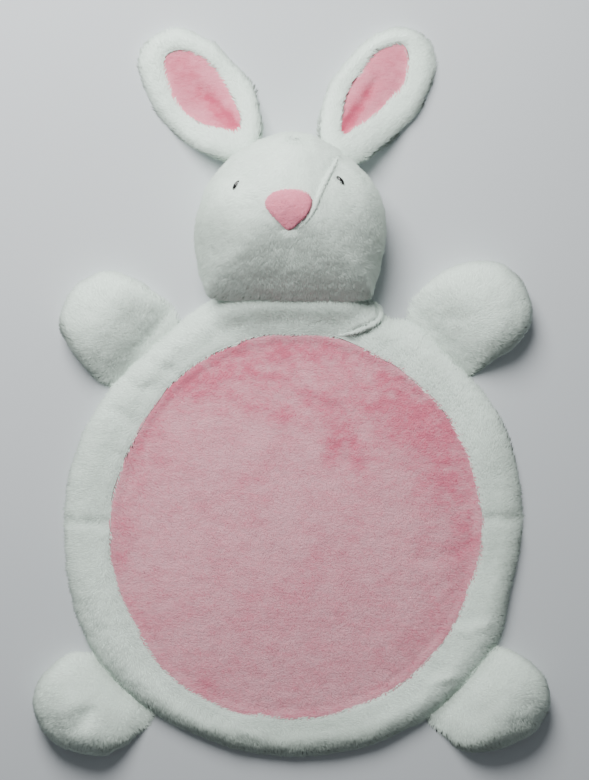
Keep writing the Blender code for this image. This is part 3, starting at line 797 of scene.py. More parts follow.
# The pile lies flat along the pleat by the neck, and is shorter over the panel's edge.
def borderCalm(root):
    side, _ = pathAt(mat["creases"][0][0], root[:, 0], root[:, 1])
    return np.maximum(0.6 * bell(side, 4.0), 0.62 * bell(matShare(root[:, 0], root[:, 1]) - 0.02, 0.09))


for half, seed in (("upper", 31), ("lower", 32)):
    addPile(
        f"mat_pile_{half}", matSkin, mat["locks"], borderWeight(half), borderComb, plushLook, whitePlush, seed,
        calm=borderCalm,
    )


# A square grid pulled into a disc: x = s sqrt(1 - t²/2), y = t sqrt(1 - s²/2).
def discGrid(count):
    side = np.linspace(-1, 1, count)
    s, t = np.meshgrid(side, side, indexing="ij")
    return s * np.sqrt(1 - t * t / 2), t * np.sqrt(1 - s * s / 2)


# A sheet of even thickness over a pad's panel: a fine grid above, a rounded edge, and rings beneath. It runs in
# under the border by its tuck, and top(share, x, y) gives its upper height.
def sheetMesh(name, piece, sheet, top, material):
    count, middle = sheet["count"], np.array(piece["panelCentre"], float)
    shares, turns = polarAt((0, 0), *discGrid(count))
    x, y = placeAt(middle, (reachAt(piece["panelEdge"], turns) + sheet["tuck"]) * shares, turns)
    points = np.stack([x, y, top(shares, x, y)], axis=-1).reshape(-1, 3)
    index = np.arange(count * count).reshape(count, count)
    faces = [np.stack([index[:-1, :-1], index[1:, :-1], index[1:, 1:], index[:-1, 1:]], axis=-1).reshape(-1, 4)]
    last = np.concatenate([index[:-1, 0], index[-1, :-1], index[:0:-1, -1], index[0, :0:-1]])
    edge, size = points[last, :2], len(last)
    for share, drop in [(1.004, 0.3), (1.004, 0.7), (0.92, 1.0), (0.7, 1.0), (0.4, 1.0)]:
        place = middle + (edge - middle) * share
        height = top(np.full(size, min(share, 1.0)), *place.T) - drop * sheet["thickness"]
        ring = len(points) + np.arange(size)
        points = np.vstack([points, np.column_stack([place, height])])
        faces.append(np.stack([last, ring, np.roll(ring, -1), np.roll(last, -1)], axis=-1))
        last = ring
    low = top(np.zeros(1), *middle[:, None]) - sheet["thickness"]
    faces.append(np.stack([np.full(size, len(points)), np.roll(last, -1), last, np.full(size, -1)], axis=-1))
    points = np.vstack([points, [*middle, *low]])
    return newMesh(name, points, np.vstack(faces), material), points


belly = {
    "count": 150, "thickness": 2.2, "tuck": 4.0, "flat": (0.548, 0.558), "area": 0.234,
    # Its height over the bed, which it follows to this share. Its rim rises, and turns down, over these shares.
    "overBed": 3.0, "bedShare": 0.84, "rise": 2.1, "rising": (0.93, 0.972), "drop": 3.0, "dropping": (0.986, 1.0),
    "fold": 0.5, "foldSize": 60.0, "locks": 18000, "seed": 45,
    # The nap's direction, how far it turns where it is brushed, and how the brushed places are broken up.
    "napTurn": -62, "turnBack": 110, "broken": 0.5, "brokenSize": 11.0, "haze": 0.16, "hazeSize": 60.0,
    # Places where the nap lies the other way: x, y, strength, spread along, spread across, turn. The band at (0, 60)
    # along the panel's top edge also stands for painted shade under the border and the head.
    "brushed": [
        (58, -76, 1.0, 24, 9, 75), (88, -86, 0.9, 26, 11, 110), (178, -62, 0.85, 50, 24, -42),
        (28, -8, 0.55, 48, 12, -24), (-20, -32, 0.45, 44, 12, -20), (30, -464, 0.6, 46, 10, 4),
        (215, -130, 0.7, 30, 26, -60), (248, -190, 0.55, 20, 46, 0), (-205, -120, 0.35, 40, 26, 50),
        (-225, -330, 0.35, 34, 22, 60), (120, -20, 0.4, 50, 16, -30), (-90, 20, 0.4, 60, 12, 12),
        (200, -330, 0.4, 44, 20, 62), (-120, -430, 0.4, 44, 16, -30), (10, -260, 0.25, 80, 16, 40),
        (150, 10, 0.7, 34, 14, -38), (-250, -230, 0.4, 14, 60, 0), (0, 60, 0.9, 120, 16, 0),
        (212, -40, 0.8, 32, 18, -45), (-150, 14, 0.45, 60, 12, 40), (-105, 8, 0.45, 84, 30, -12),
        (-228, -70, 0.45, 20, 50, -30), (-60, -120, 0.22, 60, 12, 38),
    ],
    "swells": [
        (0, -190, 1.4, 120, 120, 0), (-110, -90, 0.8, 60, 40, 30), (150, -300, -0.8, 70, 24, 40),
        (120, -120, 0.7, 70, 30, -40), (-120, -330, 0.7, 60, 40, -30),
    ],
    "creases": [
        ([(270, -212), (236, -232), (200, -244), (160, -236)], -1.1, 6.0, 0.7),
        ([(60, -66), (70, -92), (92, -104)], -1.3, 4.5, 0.6),
        ([(100, -52), (86, -80), (84, -104)], -1.1, 4.0, 0.5),
        ([(10, 2), (40, -14), (74, -22)], -0.8, 4.0, 0.5),
        ([(-40, -210), (0, -250), (-10, -330)], -0.6, 6.0, 0.4),
    ],
}


# The panel follows its bed, with soft folds. It rises to the border's edge, and turns down where it is sewn in.
def bellyTop(share, x, y):
    flat = np.stack([x, y, 0 * x], axis=-1)
    folds = swellAt(belly["swells"], x, y) + creaseAt(belly["creases"], x, y)
    folds = folds + belly["fold"] * noise.layers(flat, belly["foldSize"])
    nap = 0.28 * noise.at(flat * [1, 1.8, 1], 5.0) + 0.2 * noise.at(flat, 8.0)
    rim = belly["rise"] * smoothStep(share, *belly["rising"]) - belly["drop"] * smoothStep(share, *belly["dropping"])
    base = bedHeight(mat, belly["bedShare"] * share) + belly["overBed"] + rim
    return base + (1 - smoothStep(share, 0.90, 1.0)) * folds + nap


# How far the nap is brushed the other way, which along the panel's top edge is also painted shade: the listed places,
# broken up by noise.
def bellyBrushedAndShade(points):
    flat = points * [1, 1, 0]
    near = swellAt(belly["brushed"], points[:, 0], points[:, 1])
    broken = near * (1 + belly["broken"] * noise.layers(flat * [1, 1.6, 1], belly["brokenSize"]))
    return np.clip(0.9 * (broken + belly["haze"] * noise.layers(flat, belly["hazeSize"])), 0, 1)


# The nap runs down and to the right, and turns back where it is brushed.
def bellyComb(root):
    turn = np.radians(belly["napTurn"] + belly["turnBack"] * bellyBrushedAndShade(root))
    return np.stack([np.cos(turn), np.sin(turn), 0 * turn], axis=-1)


def everywhere(centres, ways):
    return 1.0


bellyPanel, bellyPoints = sheetMesh("belly_sheet", mat, belly, bellyTop, pinkPanel)
setAttribute(bellyPanel, "brushed", bellyBrushedAndShade(bellyPoints))
addSheet("belly_panel", belly["flat"], belly["area"])
ringShares = np.linspace(0.0, 1.0, 100)
bellyRings = framedPlaces(mat, ringShares - 1, evenTurns(300))
bellyHeights = bellyTop(0.985 * ringShares[:, None], bellyRings[..., 0], bellyRings[..., 1])
bellyLook = dict(
    plushLook, length=6.0, width=1.6, lift=16.0, steepLift=0.0, wander=60.0, wanderSize=34.0, scatter=24.0,
    tuftSize=7.0, tuftPull=0.3, relief=0.5, reliefSize=9.0, softness=0.55,
)
addPile(
    "belly_pile", np.dstack([bellyRings, bellyHeights]), belly["locks"], everywhere, bellyComb, bellyLook, pinkPlush,
    belly["seed"], bellyBrushedAndShade,
)
print("mat and belly made")


head = {
    "centre": (-3, 237),
    "edge": [
        (0, 137), (15, 136), (30, 133), (45, 130), (60, 130), (75, 134), (90, 136), (105, 132), (120, 130),
        (135, 131), (150, 132), (165, 133), (180, 136), (195, 140), (207, 146), (215, 151), (221, 152),
        (227, 143), (240, 121), (255, 109), (270, 106), (285, 109), (300, 121), (313, 143), (319, 152),
        (326, 147), (336, 141), (347, 138),
    ],
    "crown": 134, "waist": 52, "sink": 40, "lean": 33, "chinBack": 8.0, "sideFullness": 0.80, "topFullness": 0.96,
    "rows": 84, "columns": 168, "pileDepth": 5.0, "fill": 0.8, "locks": 26000, "seed": 41,
    "brow": 300, "ripple": 1.0, "rippleSize": 34.0,
    "swells": [
        (-4, 262, 9, 44, 44, 0), (-3, 166, -11, 84, 30, 0), (-62, 210, 7, 44, 44, 0), (56, 210, 7, 44, 44, 0),
        (-4, 330, 5, 46, 46, 0), (-82, 297, -10, 24, 24, 0), (69, 303, -12, 24, 24, 0),
        (-81, 297, -2.2, 12, 6, 60), (69, 304, -2.2, 12, 6, -53),
    ],
    "creases": [
        ([(66, 340), (60, 328), (49, 307), (40, 288), (34, 271), (26, 253), (14, 238)], 0.0, 7.0, -0.4, 0.2, 0.3),
        ([(-76, 342), (-66, 322), (-50, 300), (-38, 282)], 1.2, 3.6, 0.9),
        ([(-4, 236), (-5, 200), (-4, 158)], -1.8, 4.5, 0.0),
    ],
    "ridge": {
        "path": [(66, 339), (59, 326), (49, 307), (40, 288), (34, 272), (26, 254), (12, 237)],
        "radius": 3.3, "sunk": 3.8, "taper": 0.4, "locks": 460, "seed": 46,
    },
}


# The crown leans to the ears, the chin's side slopes back, and swells and creases set in with the height.
def headShape(x, y, z, lifted):
    relief = swellAt(head["swells"], x, y) + creaseAt(head["creases"], x, y)
    chin = 4 * lifted * (1 - lifted) * smoothStep(200 - y, 0, 60)
    leaned = y + head["lean"] * lifted**1.4 + head["chinBack"] * chin
    ripple = head["ripple"] * noise.layers(np.dstack([x, y, z]), head["rippleSize"])
    return x, leaned, z + relief * lifted + ripple * smoothStep(lifted, 0.1, 0.5)


headSurface = stuffedSurface(head, headShape)
headTopRows = thinned(headSurface[: head["rows"] // 2])
headSkin = clearOfMat(setIn(headSurface, head["pileDepth"]))
# Under the chin the head's skin stays on the border's top.
borderTop = np.array(mat["section"][4:12])
headX, headY, headZ = np.moveaxis(headSkin, -1, 0)
underShare = matShare(headX, headY)
underHead = np.interp(underShare, borderTop[:, 0], borderTop[:, 1]) + swellAt(mat["swells"], headX, headY)
onBorder = (underShare < 0.97) & (headZ > 29)
headSkin[..., 2] = np.where(onBorder, np.maximum(headZ, underHead - 3.0), headZ)
addPad("head_pad", headSkin, "head", head["fill"])

nose = {
    "centre": (-4, 266),
    "edge": [
        (0, 30), (15, 33), (30, 32), (60, 26), (90, 24), (120, 26), (150, 31), (170, 33), (185, 31), (210, 26),
        (240, 26), (260, 31), (270, 33), (280, 31), (300, 26), (330, 27),
    ],
    "section": [
        (0.0, 4.6), (0.35, 4.5), (0.65, 4.0), (0.86, 3.2), (0.97, 2.2), (1.0, 0.6), (0.985, -1.2),
        (0.86, -2.2), (0.65, -2.2), (0.35, -2.2), (0.0, -2.2),
    ],
    "rows": 3, "columns": 84, "sunk": 1.5, "flat": (0.062, 0.061), "area": 0.0026, "locks": 2300,
    "ripple": 0.35, "rippleSize": 7.0, "nap": (-1.0, -0.35, 0.0), "seed": 44,
}


# A crowned patch: rings at shares of the outline, each at its height over the head's skin.
def noseSurface():
    rows = sectionRows(nose["section"], [nose["rows"]] * (len(nose["section"]) - 1))
    shares, heights = rows[:, :1], rows[:, 1:]
    turns = evenTurns(nose["columns"])
    x, y = placeAt(nose["centre"], reachAt(nose["edge"], turns) * shares, turns)
    ripple = nose["ripple"] * noise.layers(np.dstack([x, 2.2 * y, 0 * x]), nose["rippleSize"])
    soft = ripple * np.clip(heights / 4, 0, 1)
    return np.dstack([x, y, heightOver(headTopRows, x, y) - nose["sunk"] + heights + soft])


nosePoints = noseSurface()
noseSkin = closedMesh("nose_patch", nosePoints, nosePatch)
addSheet("nose", nose["flat"], nose["area"])

# Each eye's x, y and slant, its opening in the pile, and the locks of its lids: how many along each, how far they
# reach, how far out they stand, over what depth, and how deep they are rooted.
eyes = {
    "at": [(-81, 297, 60), (69, 304, -53)], "opening": (9.5, 3.6),
    "count": 100, "reach": 10.5, "offset": 4.5, "depth": 3.2, "sunk": 1.6, "seed": 43,
    "look": dict(plushLook, length=4.6, width=1.2, lift=34.0, steepLift=0.0, wander=10.0, relief=0.0, tuftPull=0.0),
}


# Pile everywhere but on the underside, beneath the nose patch, inside the mat and over the eyes.
def headWeight(centres, ways):
    x, y, z = np.moveaxis(centres, -1, 0)
    distance, turns = polarAt(nose["centre"], x, y)
    underNose = distance < reachAt(nose["edge"], turns) - 2.0
    buried = (matShare(x, y) < 0.96) & (z < 30)
    kept = ~underNose & ~buried & (ways[..., 2] > -0.55) & (z > 1.0)
    for eyeX, eyeY, slant in eyes["at"]:
        along, across = turned(x - eyeX, y - eyeY, slant)
        kept = kept & ~((along / eyes["opening"][0]) ** 2 + (across / eyes["opening"][1]) ** 2 < 1.0)
    return kept.astype(float)


# Pile runs from the brow down over the face and round to the sides, and along the ridge next to it.
def headComb(root):
    x, y = root[:, 0] - head["centre"][0], root[:, 1] - head["brow"]
    away = unit(np.stack([x, 0.4 * y, 0 * x], axis=-1)) * smoothStep(np.abs(x), 5.0, 90.0)[:, None]
    side, _ = pathAt(head["creases"][0][0], root[:, 0], root[:, 1])
    byRidge = bell(side, 6.0)[:, None]
    return (1 - byRidge) * (1.3 * away + [0, -0.8, -0.3]) + byRidge * [-0.5, -0.87, 0]


# The pile lies flat along the sewn ridge from the ear to the nose, and a little flatter below the eyes.
def headCalm(root):
    side, _ = pathAt(head["creases"][0][0], root[:, 0], root[:, 1])
    face = 0.3 * smoothStep(280 - root[:, 1], 0, 50) * smoothStep(root[:, 2], 60, 85)
    return np.maximum(0.55 * bell(side, 4.5), face)


headLook = dict(plushLook, length=10.2, scatter=9.0, softness=0.74, rim=0.75)
addPile(
    "head_pile", headSkin, head["locks"], headWeight, headComb, headLook, whitePlush, head["seed"], calm=headCalm
)


def facingUp(least):
    def weight(centres, ways):
        return (ways[..., 2] > least).astype(float)
    return weight


# A sewn ridge: a thin flattened tube along a cubic through the path, sunk in the surface under it, with short pile
# laid along it.
def addWelt(name, welt, under, smoothed=7, columns=16, flattened=0.68):
    line = sectionRows(welt["path"], [8] * (len(welt["path"]) - 1))
    height = heightOver(under, line[:, 0], line[:, 1])
    height = np.convolve(np.pad(height, smoothed // 2, mode="edge"), np.full(smoothed, 1 / smoothed), mode="valid")
    line = np.column_stack([line, height - welt["sunk"]])
    along = unit(np.gradient(line, axis=0))
    side = unit(np.cross(along, [0, 0, 1]))
    up = np.cross(side, along)
    share = np.linspace(0, 1, len(line))
    ends = smoothStep(share, 0, welt["taper"]) * smoothStep(1 - share, 0, welt["taper"])
    radius = welt["radius"] * np.sqrt(np.clip(ends, 1e-4, 1))
    turns = np.radians(evenTurns(columns))[None, :, None]
    around = side[:, None] * np.cos(turns) + flattened * up[:, None] * np.sin(turns)
    points = line[:, None] + around * radius[:, None, None]
    closedMesh(name, points, whiteSkin)

    def comb(root):
        nearest = np.argmin(((root[:, None, :2] - line[None, :, :2]) ** 2).sum(axis=-1), axis=1)
        return along[nearest]

    addPile(f"{name}_pile", points, welt["locks"], facingUp(-0.1), comb, weltLook, whitePlush, welt["seed"])


weltLook = dict(
    plushLook, length=6.5, width=1.3, lift=17.0, steepLift=6.0, liftScatter=6.0, wander=10.0, scatter=15.0,
    tuftPull=0.1, relief=0.0, softness=0.6, rim=0.45,
)
addWelt("head_ridge", head["ridge"], headTopRows)
addWelt("neck_pleat", mat["pleat"], matTopRows)


# Two rows of short locks along each eye, which lean over the bead and leave a slit.
def addLids():
    rng = np.random.default_rng(eyes["seed"])
    rows = []
    for eyeX, eyeY, slant in eyes["at"]:
        c, s, _ = wayAt(slant)
        for edge in (-1, 1):
            along = rng.uniform(-eyes["reach"], eyes["reach"], eyes["count"])
            across = edge * (eyes["offset"] + rng.uniform(0, eyes["depth"], eyes["count"]))
            x, y = eyeX + along * c - across * s, eyeY + along * s + across * c
            rows.append(np.column_stack([x, y, edge * s + 0 * x, -edge * c + 0 * x, 0 * x]))
    x, y = np.vstack(rows)[:, :2].T
    flow = np.vstack(rows)[:, 2:]
    z = heightOver(headTopRows, x, y)
    stepX, stepY = heightOver(headTopRows, x + 3, y) - z, heightOver(headTopRows, x, y + 3) - z
    normal = unit(np.stack([-stepX / 3, -stepY / 3, np.ones_like(z)], axis=-1))
    points = np.stack([x, y, z], axis=-1) - normal * eyes["sunk"]
    addLocks("eye_lids", points, normal, flow, eyes["look"], whitePlush, rng)


# A few longer locks spread out below the tip of the nose.
noseTuft = {
    "at": (-4, 236), "count": 130, "turns": (205, 335), "reach": (2, 11), "sunk": 2.6, "lean": -0.25, "seed": 48,
    "look": dict(plushLook, length=8.5, width=1.3, lift=30.0, scatter=10.0, wander=0.0, relief=0.0, tuftPull=0.1),
}


def addNoseTuft():
    rng = np.random.default_rng(noseTuft["seed"])
    turns = rng.uniform(*noseTuft["turns"], noseTuft["count"])
    x, y = placeAt(noseTuft["at"], rng.uniform(*noseTuft["reach"], noseTuft["count"]), turns)
    points = np.stack([x, y, heightOver(headTopRows, x, y) - noseTuft["sunk"]], axis=-1)
    flow = np.stack([*placeAt((0, 0), 1.0, turns), 0 * turns], axis=-1)
    normal = unit(np.stack([0 * x, noseTuft["lean"] + 0 * x, 1 + 0 * x], axis=-1))
    addLocks("nose_tuft", points, normal, flow, noseTuft["look"], whitePlush, rng)


# The nap runs across the nose and a little down.
def noseComb(root):
    return nose["nap"] + 0 * root


noseLook = dict(
    plushLook, length=4.4, width=1.1, lift=17.0, steepLift=10.0, wander=40.0, relief=0.3, reliefSize=6.0, softness=0.5
)
addLids()
addNoseTuft()
addPile("nose_pile", nosePoints, nose["locks"], facingUp(0.1), noseComb, noseLook, nosePlush, nose["seed"])
beadPaint = beadGloss("beadGloss")
for node in ("eye_left", "eye_right"):
    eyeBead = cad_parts[node]
    eyeBead.data.materials.clear()
    eyeBead.data.materials.append(beadPaint)
print("head made")


# What both ears share. An ear is eased up from its middle to its root, where it stands on the head's back.
earShape = {
    "section": [
        (-1.0, 17.0), (-0.60, 16.4), (-0.28, 14.6), (-0.06, 11.5), (0.06, 16.0), (0.28, 24.5), (0.50, 27.5),
        (0.74, 24.0), (0.92, 17.5), (1.0, 11.0), (0.92, 3.5), (0.74, 0.0), (-1.0, 0.0),
    ],
    "rows": (2, 2, 2, 2, 4, 4, 4, 3, 3, 3, 3, 4), "columns": 132, "pileDepth": 4.4, "fill": 0.4, "locks": 6500,
    "lip": {"rise": 5.0, "at": 0.10, "spread": 0.16, "lap": 5.6, "wave": 1.6, "waveSize": 22.0, "round": 60.0},
    "bed": {"edge": -0.1, "drop": 3.2, "rings": 3}, "ripple": 0.9, "rippleSize": 30.0,
    "rootLift": 34.0, "rootReach": 112.0,
    # The lining's height over the bed, which it follows to this share, and its rise at its edge.
    "lining": {"count": 60, "thickness": 1.8, "tuck": 3.0, "overBed": 2.9, "bedShare": 0.76, "atEdge": 1.6},
}
ears = {
    "left": {
        "centre": (-133, 429),
        "edge": [
            (0, 81), (15, 75), (30, 69), (45, 66), (60, 70), (75, 78), (90, 86), (105, 98), (120, 105),
            (135, 107), (150, 102), (165, 88), (180, 76), (210, 66), (225, 65), (240, 68), (255, 73),
            (270, 83), (285, 97), (300, 116), (315, 117), (330, 104), (345, 89),
        ],
        "panelCentre": (-131, 436),
        "panelEdge": [
            (0, 40), (30, 36), (60, 38), (90, 47), (112, 60), (135, 69), (155, 58), (180, 47), (210, 42),
            (240, 42), (270, 49), (295, 62), (312, 82), (325, 70), (342, 50),
        ],
        "rootTurn": 308, "flat": (0.112, 0.152), "area": 0.0089,
        "creases": [([(-142, 452), (-120, 424), (-92, 392), (-76, 372)], -3.0, 5.5, 1.0, 0.2, 0.02)],
        "brushed": [(-112, 410, 0.8, 26, 8, -52), (-146, 452, 0.5, 34, 15, -50), (-90, 392, 0.7, 16, 9, -50)],
    },
    "right": {
        "centre": (121, 429),
        "edge": [
            (0, 74), (15, 85), (30, 98), (45, 108), (60, 107), (75, 99), (90, 88), (105, 76), (120, 68),
            (135, 64), (150, 64), (165, 68), (180, 73), (195, 82), (210, 98), (225, 113), (240, 116),
            (255, 105), (270, 83), (285, 72), (300, 66), (315, 64), (330, 66), (345, 69),
        ],
        "panelCentre": (118, 442),
        "panelEdge": [
            (0, 41), (20, 49), (42, 62), (58, 70), (75, 57), (95, 42), (120, 32), (150, 29), (180, 35),
            (205, 46), (222, 60), (236, 84), (248, 64), (268, 42), (300, 32), (330, 33),
        ],
        "rootTurn": 232, "flat": (0.098, 0.152), "area": 0.0071,
        "creases": [([(128, 462), (108, 430), (86, 396), (72, 374)], -3.0, 5.0, -1.0, 0.2, 0.02)],
        "brushed": [(96, 412, 0.8, 26, 7, 54), (140, 470, 0.35, 18, 12, 50), (82, 392, 0.6, 16, 8, 54)],
    },
}
for ear in ears.values():
    ear.update(earShape)


def earLift(ear, x, y):
    along, _ = turned(x - ear["centre"][0], y - ear["centre"][1], ear["rootTurn"])
    return ear["rootLift"] * smoothStep(along, 0.0, ear["rootReach"])


def earHeights(ear):
    def shape(x, y, heights, shares, onTop):
        ripple = ear["ripple"] * noise.layers(np.dstack([x, y, 0 * x]), ear["rippleSize"])
        return heights + earLift(ear, x, y) + ripple * (onTop & (shares > 0.1))
    return shape


def liningTop(ear):
    def top(share, x, y):
        lining = ear["lining"]
        flat = np.stack([x, y, 0 * x], axis=-1)
        atEdge = smoothStep(share, 0.86, 1.0)
        folds = creaseAt(ear["creases"], x, y) + 0.5 * noise.layers(flat, 22.0)
        base = bedHeight(ear, lining["bedShare"] * share) + earLift(ear, x, y) + lining["overBed"]
        return base + lining["atEdge"] * atEdge + (1 - atEdge) * folds + 0.2 * noise.at(flat, 5.0)
    return top


# How far the lining's nap is brushed the other way at the listed places, and how much darker it is along its fold,
# broken up by noise.
def liningBrushed(ear, points):
    x, y = points[:, 0], points[:, 1]
    fold, along = pathAt(ear["creases"][0][0], x, y)
    near = swellAt(ear["brushed"], x, y) + 0.55 * bell(fold, 3.5) * smoothStep(along, 0.15, 0.6)
    return np.clip(near * (1 + 0.5 * noise.layers(points * [1, 1, 0], 8.0)), 0, 1)


# Moves what would be inside the head out to the head's own section at that height.
def clearOfHead(points, gap=1.5):
    z, waist = points[..., 2], head["waist"]
    distance, turns = polarAt(head["centre"], points[..., 0], points[..., 1])
    rise = np.where(z > waist, (z - waist) / (head["crown"] - waist), (waist - z) / (waist + head["sink"]))
    sine = np.clip(rise, 0, 1) ** (1 / head["topFullness"])
    wall = reachAt(head["edge"], turns) * (1 - sine**2) ** (0.5 * head["sideFullness"]) - head["pileDepth"] + gap
    return pushedOut(points, distance < wall, head["centre"], wall, turns)


# How far a place is outside the lining's edge.
def pastLining(ear, x, y):
    distance, turns = polarAt(ear["panelCentre"], x, y)
    return distance - reachAt(ear["panelEdge"], turns)


# Pile everywhere but over the lining, where the ear rests on the floor, and inside the head. It is thinner beneath.
def earWeight(ear):
    def weight(centres, ways):
        x, y, z = np.moveaxis(centres, -1, 0)
        up = ways[..., 2]
        overLining = (pastLining(ear, x, y) < 1.0) & (up > 0.2)
        resting = ((up < -0.1) | (z < 6.5)) & (earLift(ear, x, y) < 4.0)
        distance, turns = polarAt(head["centre"], x, y)
        outside = distance / reachAt(head["edge"], turns) > 0.93
        return (~overLining & ~resting & outside & (z > 1.0) & (up > -0.5)) * np.where(up < -0.1, 0.4, 1.0)
    return weight


# Pile runs from the root to the tip, and a little over the lining's edge.
def earComb(ear):
    def comb(root):
        away = unit((root - [*ear["panelCentre"], 0]) * [1, 1, 0])
        over = np.interp(pastLining(ear, root[:, 0], root[:, 1]), [0, 6, 14], [-1.1, -0.3, 0.6])[:, None]
        return away * over + wayAt(ear["rootTurn"] + 180) * 0.9
    return comb


# Shorter and flatter over the lining's edge.
def earCalm(ear):
    def calm(root):
        return 0.4 * bell(pastLining(ear, root[:, 0], root[:, 1]) - 1.0, 5.0)
    return calm


for seed, (side, ear) in enumerate(ears.items(), 51):
    earSkin = clearOfHead(framedSkin(ear, framedSurface(ear, earHeights(ear))))
    addPad(f"ear_pad_{side}", earSkin, f"ear_{side}", ear["fill"])
    lining, liningPoints = sheetMesh(f"ear_lining_sheet_{side}", ear, ear["lining"], liningTop(ear), pinkLining)
    setAttribute(lining, "brushed", liningBrushed(ear, liningPoints))
    addSheet(f"ear_lining_{side}", ear["flat"], ear["area"])
    addPile(
        f"ear_pile_{side}", earSkin, ear["locks"], earWeight(ear), earComb(ear), plushLook, whitePlush, seed,
        calm=earCalm(ear),
    )
print("ears made")


limbs = {
    "arm_left": {
        "centre": (-252, 93), "crown": 64, "rootTurn": 322, "seamDistance": 49,
        "edge": [
            (0, 92), (20, 87), (40, 75), (60, 73), (80, 77), (100, 82), (120, 84), (140, 84), (160, 83),
            (180, 82), (200, 74), (220, 72), (240, 75), (260, 84), (280, 88), (310, 80), (335, 82),
        ],
        "swells": [(-222, 112, -3, 24, 24, 0)],
        "creases": [],
    },
    "arm_right": {
        "centre": (256, 107), "crown": 66, "rootTurn": 220, "seamDistance": 57,
        "edge": [
            (0, 88), (20, 89), (40, 90), (60, 89), (80, 84), (100, 79), (120, 77), (140, 78), (160, 85),
            (180, 94), (205, 90), (235, 90), (258, 92), (280, 76), (300, 69), (320, 72), (340, 80),
        ],
        "swells": [(226, 122, -3, 24, 24, 0)],
        "creases": [],
    },
    "foot_left": {
        "centre": (-283, -446), "crown": 60, "rootTurn": 35, "seamDistance": 45,
        "edge": [
            (0, 88), (20, 76), (40, 68), (60, 66), (80, 72), (100, 74), (120, 80), (140, 82), (160, 87),
            (180, 90), (200, 87), (220, 83), (240, 77), (260, 74), (280, 75), (300, 74), (320, 75), (340, 84),
        ],
        "swells": [(-301, -464, -6, 14, 12, 0), (-288, -490, 4, 17, 13, 60), (-322, -458, 4, 17, 13, 0)],
        "creases": [([(-318, -482), (-300, -478), (-292, -462), (-278, -448)], -3.0, 6.0, 1.0)],
    },
    "foot_right": {
        "centre": (282, -440), "crown": 60, "rootTurn": 148, "seamDistance": 44,
        "edge": [
            (0, 88), (20, 86), (40, 80), (60, 77), (80, 75), (100, 70), (120, 64), (140, 62), (160, 68),
            (180, 82), (200, 93), (220, 84), (240, 82), (260, 77), (280, 73), (300, 74), (320, 79), (340, 84),
        ],
        "swells": [(262, -462, -4, 18, 18, 0)],
        "creases": [],
    },
}
# What all limbs share. The slope is the length over which a limb thins out to the height of its seam.
for limb in limbs.values():
    limb.update(
        waist=limb["crown"] * 0.36, sink=22, sideFullness=0.80, topFullness=0.96, rows=44, columns=104, pileDepth=4.8,
        seamHeight=17.0, slope=84.0, ripple=1.3, rippleSize=34.0, fill=0.7, locks=7300,
    )


# A lobe thins out along its root turn: its height falls to the seam's on a quarter sine.
def limbShape(limb):
    def shape(x, y, z, lifted):
        along, _ = turned(x - limb["centre"][0], y - limb["centre"][1], limb["rootTurn"])
        swollen = np.clip((limb["seamDistance"] - along) / limb["slope"], 0, 1)
        least = limb["seamHeight"] / limb["crown"]
        share = least + (1 - least) * np.sin(np.radians(90.0 * swollen))
        relief = swellAt(limb["swells"], x, y) + creaseAt(limb["creases"], x, y)
        relief = relief + limb["ripple"] * noise.layers(np.dstack([x, y, z]), limb["rippleSize"])
        return x, y, z * share + relief * lifted
    return shape


def limbWeight(centres, ways):
    x, y, z = np.moveaxis(centres, -1, 0)
    return ((matShare(x, y) > 0.98) & (ways[..., 2] > -0.5) & (z > 1.0)).astype(float)


# Pile runs from the seam out over the lobe and down its sides.
def limbComb(limb):
    def comb(root):
        off = (root - [*limb["centre"], 0]) * [1, 1, 0]
        away = unit(off) * smoothStep(np.linalg.norm(off, axis=1, keepdims=True), 10.0, 80.0)
        return wayAt(limb["rootTurn"] + 180) * 0.9 + away * 1.1 + [0, 0, -0.2]
    return comb


for seed, (name, limb) in enumerate(limbs.items(), 61):
    limbSkin = clearOfMat(setIn(stuffedSurface(limb, limbShape(limb)), limb["pileDepth"]))
    addPad(f"{name}_pad", limbSkin, name, limb["fill"])
    addPile(f"{name}_pile", limbSkin, limb["locks"], limbWeight, limbComb(limb), plushLook, whitePlush, seed)
print("arms and feet made")


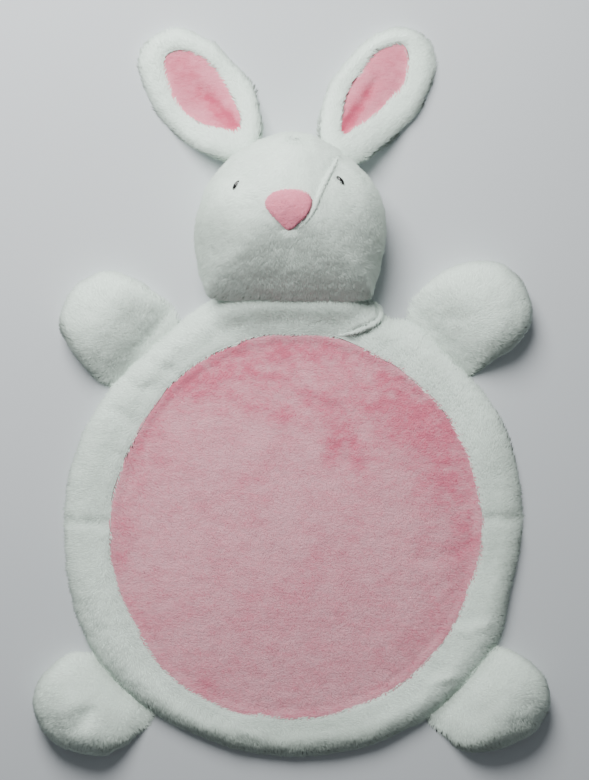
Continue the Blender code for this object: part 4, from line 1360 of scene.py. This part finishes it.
studio = {
    "floorColour": colour(0.675, 0.715, 0.75), "floorGrain": colour(0.6, 0.6, 0.62), "floorHalf": 18.0,
    "floorHeight": -0.0002,
    "keyAt": (-0.44, 1.30, 1.34), "keySize": 1.1, "keyPower": 57.0, "keyColour": (1.0, 0.99, 0.97),
    "world": colour(0.86, 0.90, 0.93), "worldStrength": 0.17,
    # The frame is 589 by 780: it shows this height at the floor, about this place.
    "frameHeight": 1.123, "frameCentre": (0.003, 0.004), "cameraHeight": 18.0, "sensor": 36.0,
}


# A flat pale sheet, a little under the mat's underside.
def addFloor():
    half, height = studio["floorHalf"], studio["floorHeight"]
    paint = Paint("floorPaper", Roughness=0.8, IOR=1.3)
    grain = paint.noise(paint.place(), 300.0, 3.0)
    data = bpy.data.meshes.new("floor")
    corners = [(-half, -half, height), (half, -half, height), (half, half, height), (-half, half, height)]
    data.from_pydata(corners, [], [(0, 1, 2, 3)])
    data.materials.append(
        paint.drive(Base_Color=paint.mix(grain * 0.06, studio["floorColour"], studio["floorGrain"]))
    )
    floor = bpy.data.objects.new("floor", data)
    bpy.context.scene.collection.objects.link(floor)

# One broad soft light above the ears, a little to the left, aimed at the mat's middle.
def addKeyLight():
    data = bpy.data.lights.new("key", "AREA")
    data.shape, data.size, data.energy = "DISK", studio["keySize"], studio["keyPower"]
    data.color = studio["keyColour"]
    key = bpy.data.objects.new("key", data)
    key.location = studio["keyAt"]
    key.rotation_euler = (Vector((0, 0, 0)) - key.location).to_track_quat("-Z", "Y").to_euler()
    bpy.context.scene.collection.objects.link(key)


# Straight above: the lens makes frameHeight fill the long side of the sensor.
def addCamera():
    data = bpy.data.cameras.new("camera")
    data.sensor_width = studio["sensor"]
    data.lens = studio["sensor"] * studio["cameraHeight"] / studio["frameHeight"]
    camera = bpy.data.objects.new("camera", data)
    camera.location = (*studio["frameCentre"], studio["cameraHeight"])
    bpy.context.scene.collection.objects.link(camera)
    bpy.context.scene.camera = camera


world = bpy.data.worlds.new("studio")
world.use_nodes = True
background = world.node_tree.nodes["Background"]
background.inputs["Color"].default_value = studio["world"]
background.inputs["Strength"].default_value = studio["worldStrength"]
bpy.context.scene.world = world
addFloor()
addKeyLight()
addCamera()
print("floor, light and camera made")
